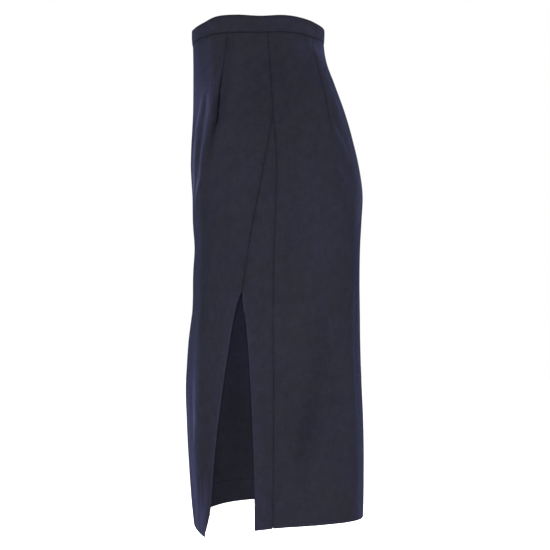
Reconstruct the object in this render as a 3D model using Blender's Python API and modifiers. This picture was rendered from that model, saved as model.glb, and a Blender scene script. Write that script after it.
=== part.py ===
"""A long pencil skirt with a straight waistband, filled out as if it were worn.

Run with: blender --background --python part.py
Metres, +Z up. The front faces -Y and the wearer's left is +X. The origin is the centre
of the waist, at the height of the seam between the waistband and the panels.

Every panel is cut from one surface, the skirt's form. A point of it has a height z and a
girth share: 0 at the centre front, 1 at the centre back round the wearer's left side, and
-1 at the centre back round the right side. A share past 1 goes on round the right side.
"""

from collections import namedtuple
from math import pi, sin

import bmesh
import bpy
import numpy as np

# Cloth and making
CLOTH = 0.0015  # wall of one layer
SEAM_GAP = 0.0004  # between two sewn edges, on the face
COLUMN = 0.022  # widest column of a panel's net
ROW = 0.024  # tallest row of a panel's net
HEM_ROW = 0.009  # the lowest row, for the slit's corner

# Lengths down the skirt
HEM_Z = -0.6925  # the hem at the side seams
BAND_HEIGHT = 0.025
BAND_WALL = 0.0026
BAND_PROUD = 0.0004  # the band stands this far off the panels' face
BAND_ROWS = 3
BAND_COLUMN = 0.013
BAND_END = 0.0011  # half the gap between the band's two ends

# The slit in the left front
FORK_Z = -0.117  # where the slanting seam leaves the side seam
SLIT_Z = -0.361  # top of the slit
SIDE_PANEL_TOP = -0.1215  # the narrow panel's upper end, a blunt point
FLARE = 0.026  # how far the front's free corner stands away from the form
FLARE_REACH = 0.095  # from the free edge, where the cloth is back on the form
FLARE_POWER = 1.4  # how late down the slit the flare comes
CORNER_DROP = 0.0048  # the free corner hangs this much lower

# Darts
DART_HALF = 0.0045  # half the width of a dart's groove
DART_DEPTH = 0.0011
DART_FADE = 0.4  # the share of its length over which a dart runs out
FRONT_DART_END = -0.124
BACK_DART_END = -0.128

# The form: one row for each height. Lengths in metres; squareness 2 is an ellipse.
Section = namedtuple("Section", "z front back half_width widest_y squareness")
SECTIONS = [
    Section(0.030, -0.0978, 0.0980, 0.1246, 0.0150, 2.25),
    Section(0.000, -0.0966, 0.0972, 0.1250, 0.0150, 2.25),
    Section(-0.030, -0.0957, 0.1018, 0.1325, 0.0155, 2.25),
    Section(-0.060, -0.0952, 0.1125, 0.1425, 0.0165, 2.25),
    Section(-0.100, -0.0955, 0.1272, 0.1540, 0.0190, 2.22),
    Section(-0.140, -0.0976, 0.1388, 0.1630, 0.0220, 2.20),
    Section(-0.180, -0.0987, 0.1483, 0.1690, 0.0240, 2.20),
    Section(-0.222, -0.0965, 0.1542, 0.1720, 0.0260, 2.20),
    Section(-0.260, -0.0958, 0.1525, 0.1718, 0.0270, 2.22),
    Section(-0.295, -0.0934, 0.1505, 0.1705, 0.0270, 2.25),
    Section(-0.330, -0.0955, 0.1498, 0.1688, 0.0270, 2.28),
    Section(-0.380, -0.0968, 0.1497, 0.1660, 0.0270, 2.32),
    Section(-0.440, -0.1029, 0.1503, 0.1625, 0.0270, 2.38),
    Section(-0.495, -0.1060, 0.1523, 0.1590, 0.0270, 2.44),
    Section(-0.550, -0.1043, 0.1545, 0.1562, 0.0270, 2.50),
    Section(-0.610, -0.1009, 0.1555, 0.1535, 0.0270, 2.52),
    Section(-0.660, -0.0972, 0.1553, 0.1514, 0.0270, 2.52),
    Section(-0.710, -0.0928, 0.1545, 0.1498, 0.0270, 2.52),
]

# Heights of the waist seam, the band's top edge and the hem, by girth share
Edge = namedtuple("Edge", "share seam top_left top_right hem_left hem_right")
EDGES = [
    Edge(0.00, -0.0033, 0.0206, 0.0206, -0.7000, -0.7000),
    Edge(0.14, -0.0015, 0.0184, 0.0207, -0.6995, -0.6980),
    Edge(0.24, 0.0008, 0.0218, 0.0217, -0.6992, -0.6963),
    Edge(0.30, 0.0021, 0.0264, 0.0226, -0.6970, -0.6938),
    Edge(0.40, 0.0018, 0.0268, 0.0237, -0.6942, -0.6899),
    Edge(0.50, 0.0008, 0.0239, 0.0240, -0.6896, -0.6885),
    Edge(0.60, 0.0018, 0.0254, 0.0236, -0.6873, -0.6880),
    Edge(0.70, 0.0004, 0.0232, 0.0226, -0.6873, -0.6878),
    Edge(0.78, -0.0010, 0.0207, 0.0215, -0.6885, -0.6888),
    Edge(0.86, -0.0002, 0.0197, 0.0206, -0.6900, -0.6900),
    Edge(1.00, 0.0010, 0.0200, 0.0200, -0.6915, -0.6915),
]

# Lines down the left side, as the y of each line at a height
Mark = namedtuple("Mark", "z y")
SIDE_SEAM = [
    Mark(0.030, 0.0150),
    Mark(0.000, 0.0150),
    Mark(-0.060, 0.0190),
    Mark(-0.120, 0.0224),
    Mark(-0.160, 0.0262),
    Mark(-0.196, 0.0277),
    Mark(-0.240, 0.0262),
    Mark(-0.300, 0.0238),
    Mark(-0.380, 0.0224),
    Mark(-0.500, 0.0230),
    Mark(-0.710, 0.0222),
]
SLANTING_SEAM = [
    Mark(-0.117, 0.0222),
    Mark(-0.1985, 0.0077),
    Mark(-0.2637, -0.0052),
    Mark(-0.3171, -0.0144),
    Mark(-0.361, -0.0208),
]
FRONT_SLIT_EDGE = [
    Mark(-0.361, -0.0208),
    Mark(-0.3976, -0.0325),
    Mark(-0.443, -0.0399),
    Mark(-0.486, -0.0467),
    Mark(-0.5473, -0.0553),
    Mark(-0.6202, -0.0627),
    Mark(-0.655, -0.0657),
    Mark(-0.676, -0.0688),
    Mark(-0.685, -0.0716),
    Mark(-0.6925, -0.0757),
]
SIDE_SLIT_EDGE = [
    Mark(-0.361, -0.0208),
    Mark(-0.3976, -0.0150),
    Mark(-0.443, -0.0110),
    Mark(-0.5172, -0.0070),
    Mark(-0.591, -0.0040),
    Mark(-0.628, -0.0029),
    Mark(-0.710, -0.0027),
]
FRONT_DART = [
    Mark(0.030, -0.0395),
    Mark(0.000, -0.0417),
    Mark(-0.042, -0.0463),
    Mark(-0.0875, -0.0525),
    Mark(-0.124, -0.0550),
]
BACK_DART = [
    Mark(0.030, 0.0750),
    Mark(0.000, 0.0778),
    Mark(-0.040, 0.0850),
    Mark(-0.085, 0.0960),
    Mark(-0.128, 0.1040),
]

# Soft ridges (height over 0) and troughs (under 0), by girth share at their two ends
FOLD_ENDS = 0.7  # under 1, a fold keeps its height nearer to its ends
Fold = namedtuple("Fold", "top bottom share_top share_bottom half_width height")
FOLDS = [
    Fold(-0.060, -0.250, 0.36, 0.13, 0.016, 0.0026),
    Fold(-0.075, -0.200, 0.28, 0.13, 0.012, 0.0016),
    Fold(-0.430, -0.690, 0.29, 0.27, 0.020, 0.0030),
    Fold(-0.480, -0.690, 0.12, 0.08, 0.024, -0.0022),
    Fold(-0.390, -0.660, 0.72, 0.59, 0.030, -0.0034),
    Fold(-0.330, -0.620, 0.86, 0.84, 0.026, -0.0026),
    Fold(-0.060, -0.230, -0.35, -0.16, 0.016, 0.0023),
    Fold(-0.400, -0.690, -0.36, -0.31, 0.024, -0.0026),
    Fold(-0.450, -0.690, -0.12, -0.10, 0.022, 0.0020),
    Fold(-0.360, -0.640, -0.70, -0.62, 0.030, -0.0032),
    Fold(-0.310, -0.600, -0.87, -0.85, 0.026, -0.0026),
]

# Concealed zip in the right side seam
TAPE_HALF = 0.012
TAPE_WALL = 0.0009
TAPE_TOP = 0.0215
TAPE_LENGTH = 0.185
TAPE_GAP = 0.0004  # from the cloth's inner face
SLIDER_Z = 0.0175  # height of the pull's turning axis
SLIDER_LENGTH = 0.0090
CROWN_WIDTH = 0.0058
CROWN_LOW = 0.15  # the crown's middle lies this share of its length under the bar
NECK_SHARE = 0.8  # the neck's share of the slider's length
CROWN_THICK = 0.0009
NECK_WIDTH = 0.0015
CHEEK_THICK = 0.0009
BAR_RADIUS = 0.00055
EYE_RADIUS = 0.00125
EYE_WIDTH = 0.0021
PULL_LENGTH = 0.0225
PULL_THICK = 0.0010
Station = namedtuple("Station", "half_width down")
PULL_OUTLINE = [
    Station(0.0008, -0.0006),
    Station(0.0009, -0.0032),
    Station(0.0016, -0.0095),
    Station(0.0026, -0.0180),
    Station(0.0019, -0.0214),
]
RUN_GAP = 0.0003  # between the zip's pieces

RING_POINTS = 121
WIDTH_HEIGHTS = (0.0, -0.2, -0.35, HEM_Z)  # where a panel's widths are compared
NORMAL_REACH = 0.004  # each way along the girth, to find which way is outwards
MIDDLE = 0.00001  # nearer than this to the centre front or back counts as on it

NAVY = (0.020, 0.022, 0.040, 1.0)
ZIP_NAVY = (0.016, 0.018, 0.034, 1.0)


def read(table, column, place):
    """The named column of a table at a place of its first column, on a smooth curve."""
    rows = sorted(table)
    places = np.array([row[0] for row in rows])
    values = np.array([getattr(row, column) for row in rows])
    slopes = np.gradient(values, places)
    place = np.clip(place, places[0], places[-1])
    i = np.clip(np.searchsorted(places, place) - 1, 0, len(rows) - 2)
    step = places[i + 1] - places[i]
    t = (place - places[i]) / step
    start = (2 * t**3 - 3 * t**2 + 1) * values[i] + (t**3 - 2 * t**2 + t) * step * slopes[i]
    end = (3 * t**2 - 2 * t**3) * values[i + 1] + (t**3 - t**2) * step * slopes[i + 1]
    return start + end


def half_ring(z):
    """The left half of the form at height z, centre front to centre back: points and girth."""
    power = 2 / read(SECTIONS, "squareness", z)
    wide = read(SECTIONS, "half_width", z)
    middle = read(SECTIONS, "widest_y", z)
    ahead = middle - read(SECTIONS, "front", z)
    behind = read(SECTIONS, "back", z) - middle
    angle = np.linspace(-pi / 2, pi / 2, RING_POINTS)
    x = wide * np.abs(np.cos(angle)) ** power
    y = np.abs(np.sin(angle)) ** power
    y = middle + np.where(angle < 0, -ahead * y, behind * y)
    x[0] = x[-1] = 0.0
    girth = np.concatenate([[0.0], np.cumsum(np.hypot(np.diff(x), np.diff(y)))])
    return x, y, girth


def share_at(z, y):
    """The girth share of the left side's point with this y."""
    _, ring_y, girth = half_ring(z)
    return np.interp(y, ring_y, girth) / girth[-1]


def bump(t):
    """1 at t = 0, falling smoothly to 0 at t = -1 and 1."""
    t = np.clip(np.abs(t), 0, 1)
    return (1 - t * t) ** 2


def fold_height(z, share, half_girth):
    """How far the folds move the cloth outwards."""
    total = 0.0
    for fold in FOLDS:
        down = (fold.top - z) / (fold.top - fold.bottom)
        if not 0 < down < 1:
            continue
        centre = fold.share_top + (fold.share_bottom - fold.share_top) * down
        across = bump((share - centre) * half_girth / fold.half_width)
        total += fold.height * across * sin(pi * down) ** FOLD_ENDS
    return total


def hang(z, share):
    """The real height of a point, from the lines of the waist seam, band edge and hem."""
    turn = abs(share)
    side = "right" if share < 0 else "left"
    seam = read(EDGES, "seam", turn)
    if z > 0:
        return seam + (read(EDGES, "top_" + side, turn) - seam) * z / BAND_HEIGHT
    return seam + (read(EDGES, "hem_" + side, turn) - seam) * z / HEM_Z


def form_point(z, share, out=0.0):
    """(x, y, z) of the cloth's face at a height and girth share, moved outwards by out."""
    share = (share + 1) % 2 - 1
    ring_x, ring_y, girth = half_ring(z)
    at = abs(share) * girth[-1]
    side = -1.0 if share < 0 else 1.0
    reach = min(NORMAL_REACH, at, girth[-1] - at)
    along_x = np.interp(at + reach, girth, ring_x) - np.interp(at - reach, girth, ring_x)
    along_y = np.interp(at + reach, girth, ring_y) - np.interp(at - reach, girth, ring_y)
    length = np.hypot(along_x, along_y)
    if length < MIDDLE:
        along_x, along_y, length = (1.0 if at < MIDDLE else -1.0), 0.0, 1.0
    out += fold_height(z, share, girth[-1])
    x = np.interp(at, girth, ring_x) + out * along_y / length
    y = np.interp(at, girth, ring_y) - out * along_x / length
    return np.array([side * x, y, hang(z, share)])


def line_share(table):
    """A line given by marks, as a function from height to girth share."""
    return lambda z: share_at(z, read(table, "y", z))


side_seam = line_share(SIDE_SEAM)
slanting_seam = line_share(SLANTING_SEAM)


def front_left_edge(z):
    """The front's left edge: side seam, slanting seam, then the slit's free edge."""
    if z > FORK_Z:
        return side_seam(z)
    if z > SLIT_Z:
        return min(slanting_seam(z), side_seam(z))
    return line_share(FRONT_SLIT_EDGE)(z)


def side_panel_edge(z):
    """The narrow panel's front edge: the slanting seam, then its side of the slit."""
    if z > SLIT_Z:
        return slanting_seam(z)
    return line_share(SIDE_SLIT_EDGE)(z)


def dart_line(table, end_z, outer):
    """A dart's line, which runs on below its end at the same part of the way to outer."""

    def share(z):
        if z >= end_z:
            return share_at(z, read(table, "y", z))
        part = share_at(end_z, read(table, "y", end_z)) / outer(end_z)
        return part * outer(z)

    return share


def back_dart_left(z):
    """The back dart's line, kept at the same part of the way from side seam to centre back."""
    top = max(z, BACK_DART_END)
    part = (share_at(top, read(BACK_DART, "y", top)) - side_seam(top)) / (1 - side_seam(top))
    return side_seam(z) + part * (1 - side_seam(z))


front_dart_left = dart_line(FRONT_DART, FRONT_DART_END, front_left_edge)
front_dart_right = dart_line(FRONT_DART, FRONT_DART_END, side_seam)


def flare(z, share):
    """How far the front's free edge stands off the form, and how far it drops."""
    from_edge = (front_left_edge(z) - share) * half_ring(z)[2][-1]
    if z >= SLIT_Z or not -SEAM_GAP < from_edge < FLARE_REACH:
        return 0.0, 0.0
    down = (SLIT_Z - z) / (SLIT_Z - HEM_Z)
    near = (1 - from_edge / FLARE_REACH) ** 2
    return FLARE * down**FLARE_POWER * near, CORNER_DROP * down**3 * near


def row_heights(top):
    """The rows of every panel, hem first, up to its top."""
    stops = [HEM_Z, HEM_Z + HEM_ROW, SLIT_Z, SIDE_PANEL_TOP, FORK_Z, 0.0]
    heights = [HEM_Z]
    for below, above in zip(stops, stops[1:]):
        steps = max(1, round((above - below) / ROW))
        heights.extend(below + (above - below) * step / steps for step in range(1, steps))
        heights.append(above)
    return [z for z in heights if z <= top]


def clear_scene():
    for thing in list(bpy.data.objects):
        bpy.data.objects.remove(thing, do_unlink=True)


def finish(name, colour, roughness, metallic=0.0):
    material = bpy.data.materials.new(name)
    material.use_nodes = True
    shader = material.node_tree.nodes["Principled BSDF"]
    shader.inputs["Base Color"].default_value = colour
    shader.inputs["Roughness"].default_value = roughness
    shader.inputs["Metallic"].default_value = metallic
    return material


def grid_object(name, points, material, collection):
    """A sheet over rows of points, bottom row first, whose face points outwards."""
    rows, columns = points.shape[:2]
    net = bmesh.new()
    bmesh.ops.create_grid(net, x_segments=columns - 1, y_segments=rows - 1, size=1.0)
    for vertex in net.verts:
        column = round((vertex.co.x + 1) / 2 * (columns - 1))
        row = round((vertex.co.y + 1) / 2 * (rows - 1))
        vertex.co = points[row, column]
    mesh = bpy.data.meshes.new(name)
    net.to_mesh(mesh)
    net.free()
    mesh.shade_smooth()
    mesh.materials.append(material)
    sheet = bpy.data.objects.new(name, mesh)
    collection.objects.link(sheet)
    return sheet


def give_wall(sheet, thickness):
    """A wall inwards from the sheet's face."""
    wall = sheet.modifiers.new("wall", "SOLIDIFY")
    wall.thickness = thickness
    wall.offset = -1.0
    wall.use_even_offset = True
    return sheet


Spot = namedtuple("Spot", "guide part offset dart_end")


def columns_between(guides, darts, zip_edge):
    """One spot a column: a guide's number, the part of the way to the next, an offset in metres.

    darts gives the height of a dart's end for the number of the guide that it follows.
    """
    spots = []
    widest = [
        max(abs(after(z) - before(z)) * half_ring(z)[2][-1] for z in WIDTH_HEIGHTS)
        for before, after in zip(guides, guides[1:])
    ]
    for number, width in enumerate(widest):
        steps = max(1, round(width / COLUMN))
        spots.append(Spot(number, 0.0, 0.0, darts.get(number, 0.0)))
        if number in darts:
            spots.append(Spot(number, 0.0, DART_HALF, 0.0))
        if zip_edge == "first" and number == 0:
            spots.append(Spot(number, 0.0, TAPE_HALF, 0.0))
        spots.extend(Spot(number, step / steps, 0.0, 0.0) for step in range(1, steps))
        if zip_edge == "last" and number == len(widest) - 1:
            spots.append(Spot(number, 1.0, -TAPE_HALF, 0.0))
        if number + 1 in darts:
            spots.append(Spot(number, 1.0, -DART_HALF, 0.0))
    spots.append(Spot(len(guides) - 2, 1.0, 0.0, 0.0))
    return spots


def dart_sink(z, dart_end):
    """How deep a dart's line lies, fading to nothing at its end."""
    if z <= dart_end:
        return 0.0
    return DART_DEPTH * min(1.0, (1 - z / dart_end) / DART_FADE)


def panel(name, guides, darts, zip_edge, material, collection, top=0.0):
    """A panel between its first and last guide line, from the height top down to the hem."""
    spots = columns_between(guides, darts, zip_edge)
    heights = row_heights(top)
    points = np.zeros((len(heights), len(spots), 3))
    for row, z in enumerate(heights):
        half_girth = half_ring(z)[2][-1]
        lines = [guide(z) for guide in guides]
        lines[0] += SEAM_GAP / 2 / half_girth
        lines[-1] -= SEAM_GAP / 2 / half_girth
        for column, spot in enumerate(spots):
            share = lines[spot.guide] + (lines[spot.guide + 1] - lines[spot.guide]) * spot.part
            share += spot.offset / half_girth
            away, drop = flare(z, share)
            point = form_point(z, share, -dart_sink(z, spot.dart_end))
            points[row, column] = point + np.array([away, 0.0, -drop])
    return give_wall(grid_object(name, points, material, collection), CLOTH)


def waistband(material, collection):
    """The straight band: one strip round the waist, open at the right side seam."""
    half_girth = half_ring(0.0)[2][-1]
    start = BAND_END / half_girth - side_seam(0.0)
    finish = 2 - BAND_END / half_girth - side_seam(0.0)
    shares = np.linspace(start, finish, 2 * round(half_girth / BAND_COLUMN) + 1)
    points = np.zeros((BAND_ROWS, len(shares), 3))
    for row, height in enumerate(np.linspace(SEAM_GAP, BAND_HEIGHT, BAND_ROWS)):
        for column, share in enumerate(shares):
            points[row, column] = form_point(height, share, BAND_PROUD)
    return give_wall(grid_object("waistband", points, material, collection), BAND_WALL)


def zip_tape(material, collection):
    """The closed pair of tapes behind the right side seam, on the panels' own rows."""
    heights = [z for z in row_heights(0.0) if z > -TAPE_LENGTH] + [BAND_HEIGHT / 2, TAPE_TOP]
    points = np.zeros((len(heights), 3, 3))
    for row, z in enumerate(heights):
        wall = CLOTH if z < 0 else BAND_WALL - BAND_PROUD
        edge = (TAPE_HALF + SEAM_GAP / 2) / half_ring(z)[2][-1]
        for column, away in enumerate((-edge, 0.0, edge)):
            points[row, column] = form_point(z, -side_seam(min(z, 0.0)) + away, -wall - TAPE_GAP)
    return give_wall(grid_object("zip_tape", points, material, collection), TAPE_WALL)


def solid(name, place, build, material, collection):
    """An object at a place, from the primitives that build adds to an empty mesh."""
    net = bmesh.new()
    build(net)
    mesh = bpy.data.meshes.new(name)
    net.to_mesh(mesh)
    net.free()
    mesh.materials.append(material)
    thing = bpy.data.objects.new(name, mesh)
    thing.location = place
    collection.objects.link(thing)
    return thing


def block(centre, size):
    """Adds a box, from a cube primitive."""

    def build(net):
        for vertex in bmesh.ops.create_cube(net, size=1.0)["verts"]:
            vertex.co = [c + v * s for c, v, s in zip(centre, vertex.co, size)]

    return build


def rod(radius, length, segments):
    """Adds a round rod along Y through the origin, from a cone primitive."""

    def build(net):
        made = bmesh.ops.create_cone(
            net, cap_ends=True, segments=segments, radius1=radius, radius2=radius, depth=length
        )
        for vertex in made["verts"]:
            x, y, z = vertex.co
            vertex.co = (x, z, -y)

    return build


def combine(thing, operation, tool):
    """Joins or cuts a thing with a tool, which is kept as a guide."""
    tool.hide_render = True
    tool.display_type = "WIRE"
    step = thing.modifiers.new(tool.name, "BOOLEAN")
    step.operation = operation
    step.object = tool


def zip_axis():
    """The middle of the slider's bar, and how far the cloth's face lies inwards of it."""
    face = form_point(SLIDER_Z, -side_seam(0.0))
    crown_face = BAND_PROUD + RUN_GAP + CROWN_THICK
    inwards = crown_face + RUN_GAP + EYE_RADIUS
    return (face[0] - inwards, face[1], face[2]), inwards


def zip_slider(material, parts, cutters):
    """Neck through the gap between the band's ends, crown plate, two cheeks and a bar."""
    axis, inwards = zip_axis()
    crown_out = inwards - BAND_PROUD - RUN_GAP - CROWN_THICK
    neck_in = inwards + BAND_WALL - BAND_PROUD + TAPE_GAP - RUN_GAP
    crown_up = -CROWN_LOW * SLIDER_LENGTH
    cheek_y = EYE_WIDTH / 2 + RUN_GAP + CHEEK_THICK / 2
    cheek_deep = EYE_RADIUS + crown_out + CROWN_THICK / 2
    cheek_x = (crown_out + CROWN_THICK / 2 - EYE_RADIUS) / 2
    crown_size = (CROWN_THICK, CROWN_WIDTH, SLIDER_LENGTH)
    neck_size = (neck_in - crown_out, NECK_WIDTH, NECK_SHARE * SLIDER_LENGTH)
    cheek_size = (cheek_deep, CHEEK_THICK, 2 * EYE_RADIUS)
    crown = block((crown_out + CROWN_THICK / 2, 0, crown_up), crown_size)
    slider = solid("zip_slider", axis, crown, material, parts)
    joined = {
        "slider_neck": block(((neck_in + crown_out) / 2, 0, crown_up), neck_size),
        "slider_cheek_back": block((cheek_x, cheek_y, 0), cheek_size),
        "slider_cheek_front": block((cheek_x, -cheek_y, 0), cheek_size),
        "slider_bar": rod(BAR_RADIUS, 2 * cheek_y, 12),
    }
    for name, build in joined.items():
        combine(slider, "UNION", solid(name, axis, build, material, cutters))


def pull_outline(axis, collection):
    """The tab's flat outline as a curve, hanging from the axis."""
    curve = bpy.data.curves.new("pull_outline", "CURVE")
    curve.dimensions = "2D"
    curve.fill_mode = "BOTH"
    curve.extrude = PULL_THICK / 2
    curve.resolution_u = 5
    edge = curve.splines.new("BEZIER")
    right = [(station.half_width, station.down) for station in PULL_OUTLINE]
    left = [(-across, down) for across, down in reversed(right)]
    edge.bezier_points.add(len(right) + len(left))
    for point, (across, down) in zip(edge.bezier_points, right + [(0.0, -PULL_LENGTH)] + left):
        point.co = (across, down, 0)
        point.handle_left_type = point.handle_right_type = "AUTO"
    edge.use_cyclic_u = True
    outline = bpy.data.objects.new("pull_outline", curve)
    outline.location = axis
    outline.rotation_euler = (pi / 2, 0, pi / 2)
    collection.objects.link(outline)
    return outline


def zip_pull(material, parts, cutters):
    """A drop-shaped tab that hangs from a round eye on the slider's bar."""
    axis, _ = zip_axis()
    outline = pull_outline(axis, cutters)
    bpy.context.view_layer.update()
    graph = bpy.context.evaluated_depsgraph_get()
    mesh = bpy.data.meshes.new_from_object(outline.evaluated_get(graph))
    net = bmesh.new()
    net.from_mesh(mesh)
    bmesh.ops.remove_doubles(net, verts=net.verts, dist=0.00001)
    net.to_mesh(mesh)
    net.free()
    mesh.name = "zip_pull"
    mesh.materials.clear()
    mesh.materials.append(material)
    pull = bpy.data.objects.new("zip_pull", mesh)
    pull.matrix_world = outline.matrix_world
    parts.objects.link(pull)
    bpy.data.objects.remove(outline, do_unlink=True)
    eye = solid("pull_eye", axis, rod(EYE_RADIUS, EYE_WIDTH, 20), material, cutters)
    bore = solid("pull_bore", axis, rod(BAR_RADIUS + RUN_GAP, 2 * EYE_WIDTH, 16), material, cutters)
    combine(pull, "UNION", eye)
    combine(pull, "DIFFERENCE", bore)


def mirrored(line):
    """The same line on the wearer's right side."""
    return lambda z: -line(z)


def centre_front(z):
    return 0.0


def centre_back(z):
    return 1.0


def right_round_back(line):
    """A left line's twin on the right side, counted on round the back."""
    return lambda z: 2 - line(z)


def main():
    clear_scene()
    parts = bpy.data.collections.new("pencil_skirt")
    cutters = bpy.data.collections.new("cutters")
    for collection in (parts, cutters):
        bpy.context.scene.collection.children.link(collection)
    wool = finish("navy_wool", NAVY, roughness=0.85)
    tape = finish("zip_tape_navy", ZIP_NAVY, roughness=0.7)
    metal = finish("lacquered_zip_metal", ZIP_NAVY, roughness=0.4, metallic=0.5)

    right_front = [mirrored(side_seam), mirrored(front_dart_right), centre_front]
    left_front = [front_dart_left, front_left_edge]
    front_darts = {1: FRONT_DART_END, 3: FRONT_DART_END}
    panel("front_panel", right_front + left_front, front_darts, "first", wool, parts)
    panel("side_panel", [side_panel_edge, side_seam], {}, "", wool, parts, SIDE_PANEL_TOP)
    left_back = [side_seam, back_dart_left, centre_back]
    right_back = [right_round_back(back_dart_left), right_round_back(side_seam)]
    back_darts = {1: BACK_DART_END, 3: BACK_DART_END}
    panel("back_panel", left_back + right_back, back_darts, "last", wool, parts)
    waistband(wool, parts)
    zip_tape(tape, parts)
    zip_slider(metal, parts, cutters)
    zip_pull(metal, parts, cutters)


main()
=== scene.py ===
"""The looks of a long wool pencil skirt with a slit in the left front.

Metres, +Z up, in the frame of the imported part. The front faces -Y and the wearer's left is
+X. A point of the cloth has a height z, counted from the waist seam, and a girth share: 0 at
the centre front, 1 at the centre back round the left side and -1 round the right side. A
share past 1 goes on round the right side.
"""

from collections import namedtuple
from functools import lru_cache, partial
from math import pi, radians

import bmesh
import bpy
import numpy as np
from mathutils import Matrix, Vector, noise


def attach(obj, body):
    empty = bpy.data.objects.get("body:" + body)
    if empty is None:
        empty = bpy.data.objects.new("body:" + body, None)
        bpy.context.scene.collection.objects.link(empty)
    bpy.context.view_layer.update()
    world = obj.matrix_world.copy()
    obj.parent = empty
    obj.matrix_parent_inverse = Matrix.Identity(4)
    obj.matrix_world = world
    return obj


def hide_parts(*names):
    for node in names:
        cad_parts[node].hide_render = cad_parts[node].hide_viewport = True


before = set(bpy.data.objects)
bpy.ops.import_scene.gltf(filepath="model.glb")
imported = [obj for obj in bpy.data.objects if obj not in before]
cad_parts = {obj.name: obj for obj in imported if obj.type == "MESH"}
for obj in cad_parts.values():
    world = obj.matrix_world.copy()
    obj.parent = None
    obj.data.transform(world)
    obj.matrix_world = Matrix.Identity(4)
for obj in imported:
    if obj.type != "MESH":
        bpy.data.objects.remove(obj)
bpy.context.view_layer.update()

# Camera
IMAGE = 550  # pixels each way
FOCAL_PIXELS = 1574.0
SENSOR = 36.0  # millimetres
CAMERA_PLACE = (2.33, 0.025, -0.3467)
CAMERA_TURN = (90.0, 0.0, 90.0)
SHIFT_UP = 5.0 / IMAGE  # 5 pixels

# Cloth and making
CLOTH = 0.0011  # one layer
FOLDED = 0.0024  # a pressed edge, turned under
PRESSED = 0.0021  # how far in from an edge the fold is flat
SEAM_GAP = 0.0004
SIDE_RIM = 0.0009  # how far the round edge stands out at the side seams
SLANTING_RIM = 0.0015  # the same at the slanting seam and the slit
RIM_CHANGE = 0.020  # the height over which one runs into the other
RIM_STEPS = 6  # round a pressed edge
COLUMN = 0.0042  # widest column of a panel's net
ROW = 0.0040  # tallest row
NEAR_LINES = (0.0007, 0.0014, 0.0022, 0.0034, 0.0052)  # columns close to an edge or dart
TURNING = 0.0006  # one layer of a turning
TURNING_HALF = 0.0105  # half a pressed-open pair of seam turnings
TURNING_DEPTH = 0.0012  # from the face of the cloth to that of a turning
TURNING_STEP = 0.0030  # rows of a turning
TURNING_COLUMNS = 6
STITCH_DEPTH = TURNING_DEPTH + TURNING  # stitches lie on the turnings
SLIT_TURNING = 0.0115
HEM_TURNING = 0.0320  # its height
EDGE_BACK = 0.0018  # a turning starts this far in from the fold

# Lengths down the skirt
HEM_Z = -0.6925
HEM_TOP = HEM_Z + HEM_TURNING  # top edge of the hem's turning
BAND_HEIGHT = 0.025
BAND_WALL = 0.0026
BAND_PROUD = 0.0004  # it stands out over the panels' face
BAND_END = 0.0011  # half the gap between the band's two ends
BAND_CROWN = 0.0006  # the band swells by this much half-way up
FORK_Z = -0.117  # where the slanting seam leaves the side seam
SLIT_Z = -0.361  # top of the slit
SIDE_PANEL_TOP = -0.1215  # the narrow panel's point
SLANTING_TOP = -0.128  # the slanting seam's turnings end here
FACING_LOW = -0.008  # the band's inner layer hangs under the seam
FACING_TOP = 0.006
FACING_DEPTH = 0.0026

# The slit
FLARE = 0.026  # how far the front's free corner stands away from the form
FLARE_REACH = 0.095  # from the free edge, where the cloth is back on the form
FLARE_POWER = 1.4  # how late down the slit the flare comes
FLARE_MOST = 1.02  # a little over the whole, for the rim past the free edge
CORNER_DROP = 0.0057  # the free corner hangs this much lower
DROP_POWER = 3
SLIT_ROLL = 0.0012  # the narrow panel's free edge turns in by this much
SLIT_ROLL_REACH = 0.017  # from the free edge
SLIT_ROLL_START = 0.068  # below the slit's top, where the roll is whole

# Darts
FRONT_DART_END = -0.124
BACK_DART_END = -0.128
DART_FADE = 0.3  # the share of its length over which a dart runs out
DART_HALF = 0.0017  # half the width of a dart's groove
DART_DEPTH = 0.0020
DART_PRESS_HALF = 0.0100  # the fold of a dart shows through on one side
DART_PRESS_HEIGHT = 0.0005

# The form, as in the part's source
Section = namedtuple("Section", "z front back half_width widest_y squareness")
SECTIONS = [
    Section(0.030, -0.0978, 0.0980, 0.1246, 0.0150, 2.25),
    Section(0.000, -0.0966, 0.0972, 0.1250, 0.0150, 2.25),
    Section(-0.030, -0.0957, 0.1018, 0.1325, 0.0155, 2.25),
    Section(-0.060, -0.0952, 0.1125, 0.1425, 0.0165, 2.25),
    Section(-0.100, -0.0955, 0.1272, 0.1540, 0.0190, 2.22),
    Section(-0.140, -0.0976, 0.1388, 0.1630, 0.0220, 2.20),
    Section(-0.180, -0.0987, 0.1483, 0.1690, 0.0240, 2.20),
    Section(-0.222, -0.0965, 0.1542, 0.1720, 0.0260, 2.20),
    Section(-0.260, -0.0958, 0.1525, 0.1718, 0.0270, 2.22),
    Section(-0.295, -0.0934, 0.1505, 0.1705, 0.0270, 2.25),
    Section(-0.330, -0.0955, 0.1498, 0.1688, 0.0270, 2.28),
    Section(-0.380, -0.0968, 0.1497, 0.1660, 0.0270, 2.32),
    Section(-0.440, -0.1029, 0.1503, 0.1625, 0.0270, 2.38),
    Section(-0.495, -0.1060, 0.1523, 0.1590, 0.0270, 2.44),
    Section(-0.550, -0.1043, 0.1545, 0.1562, 0.0270, 2.50),
    Section(-0.610, -0.1009, 0.1555, 0.1535, 0.0270, 2.52),
    Section(-0.660, -0.0972, 0.1553, 0.1514, 0.0270, 2.52),
    Section(-0.710, -0.0928, 0.1545, 0.1498, 0.0270, 2.52),
]
Edge = namedtuple("Edge", "share seam top_left top_right hem_left hem_right")
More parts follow.
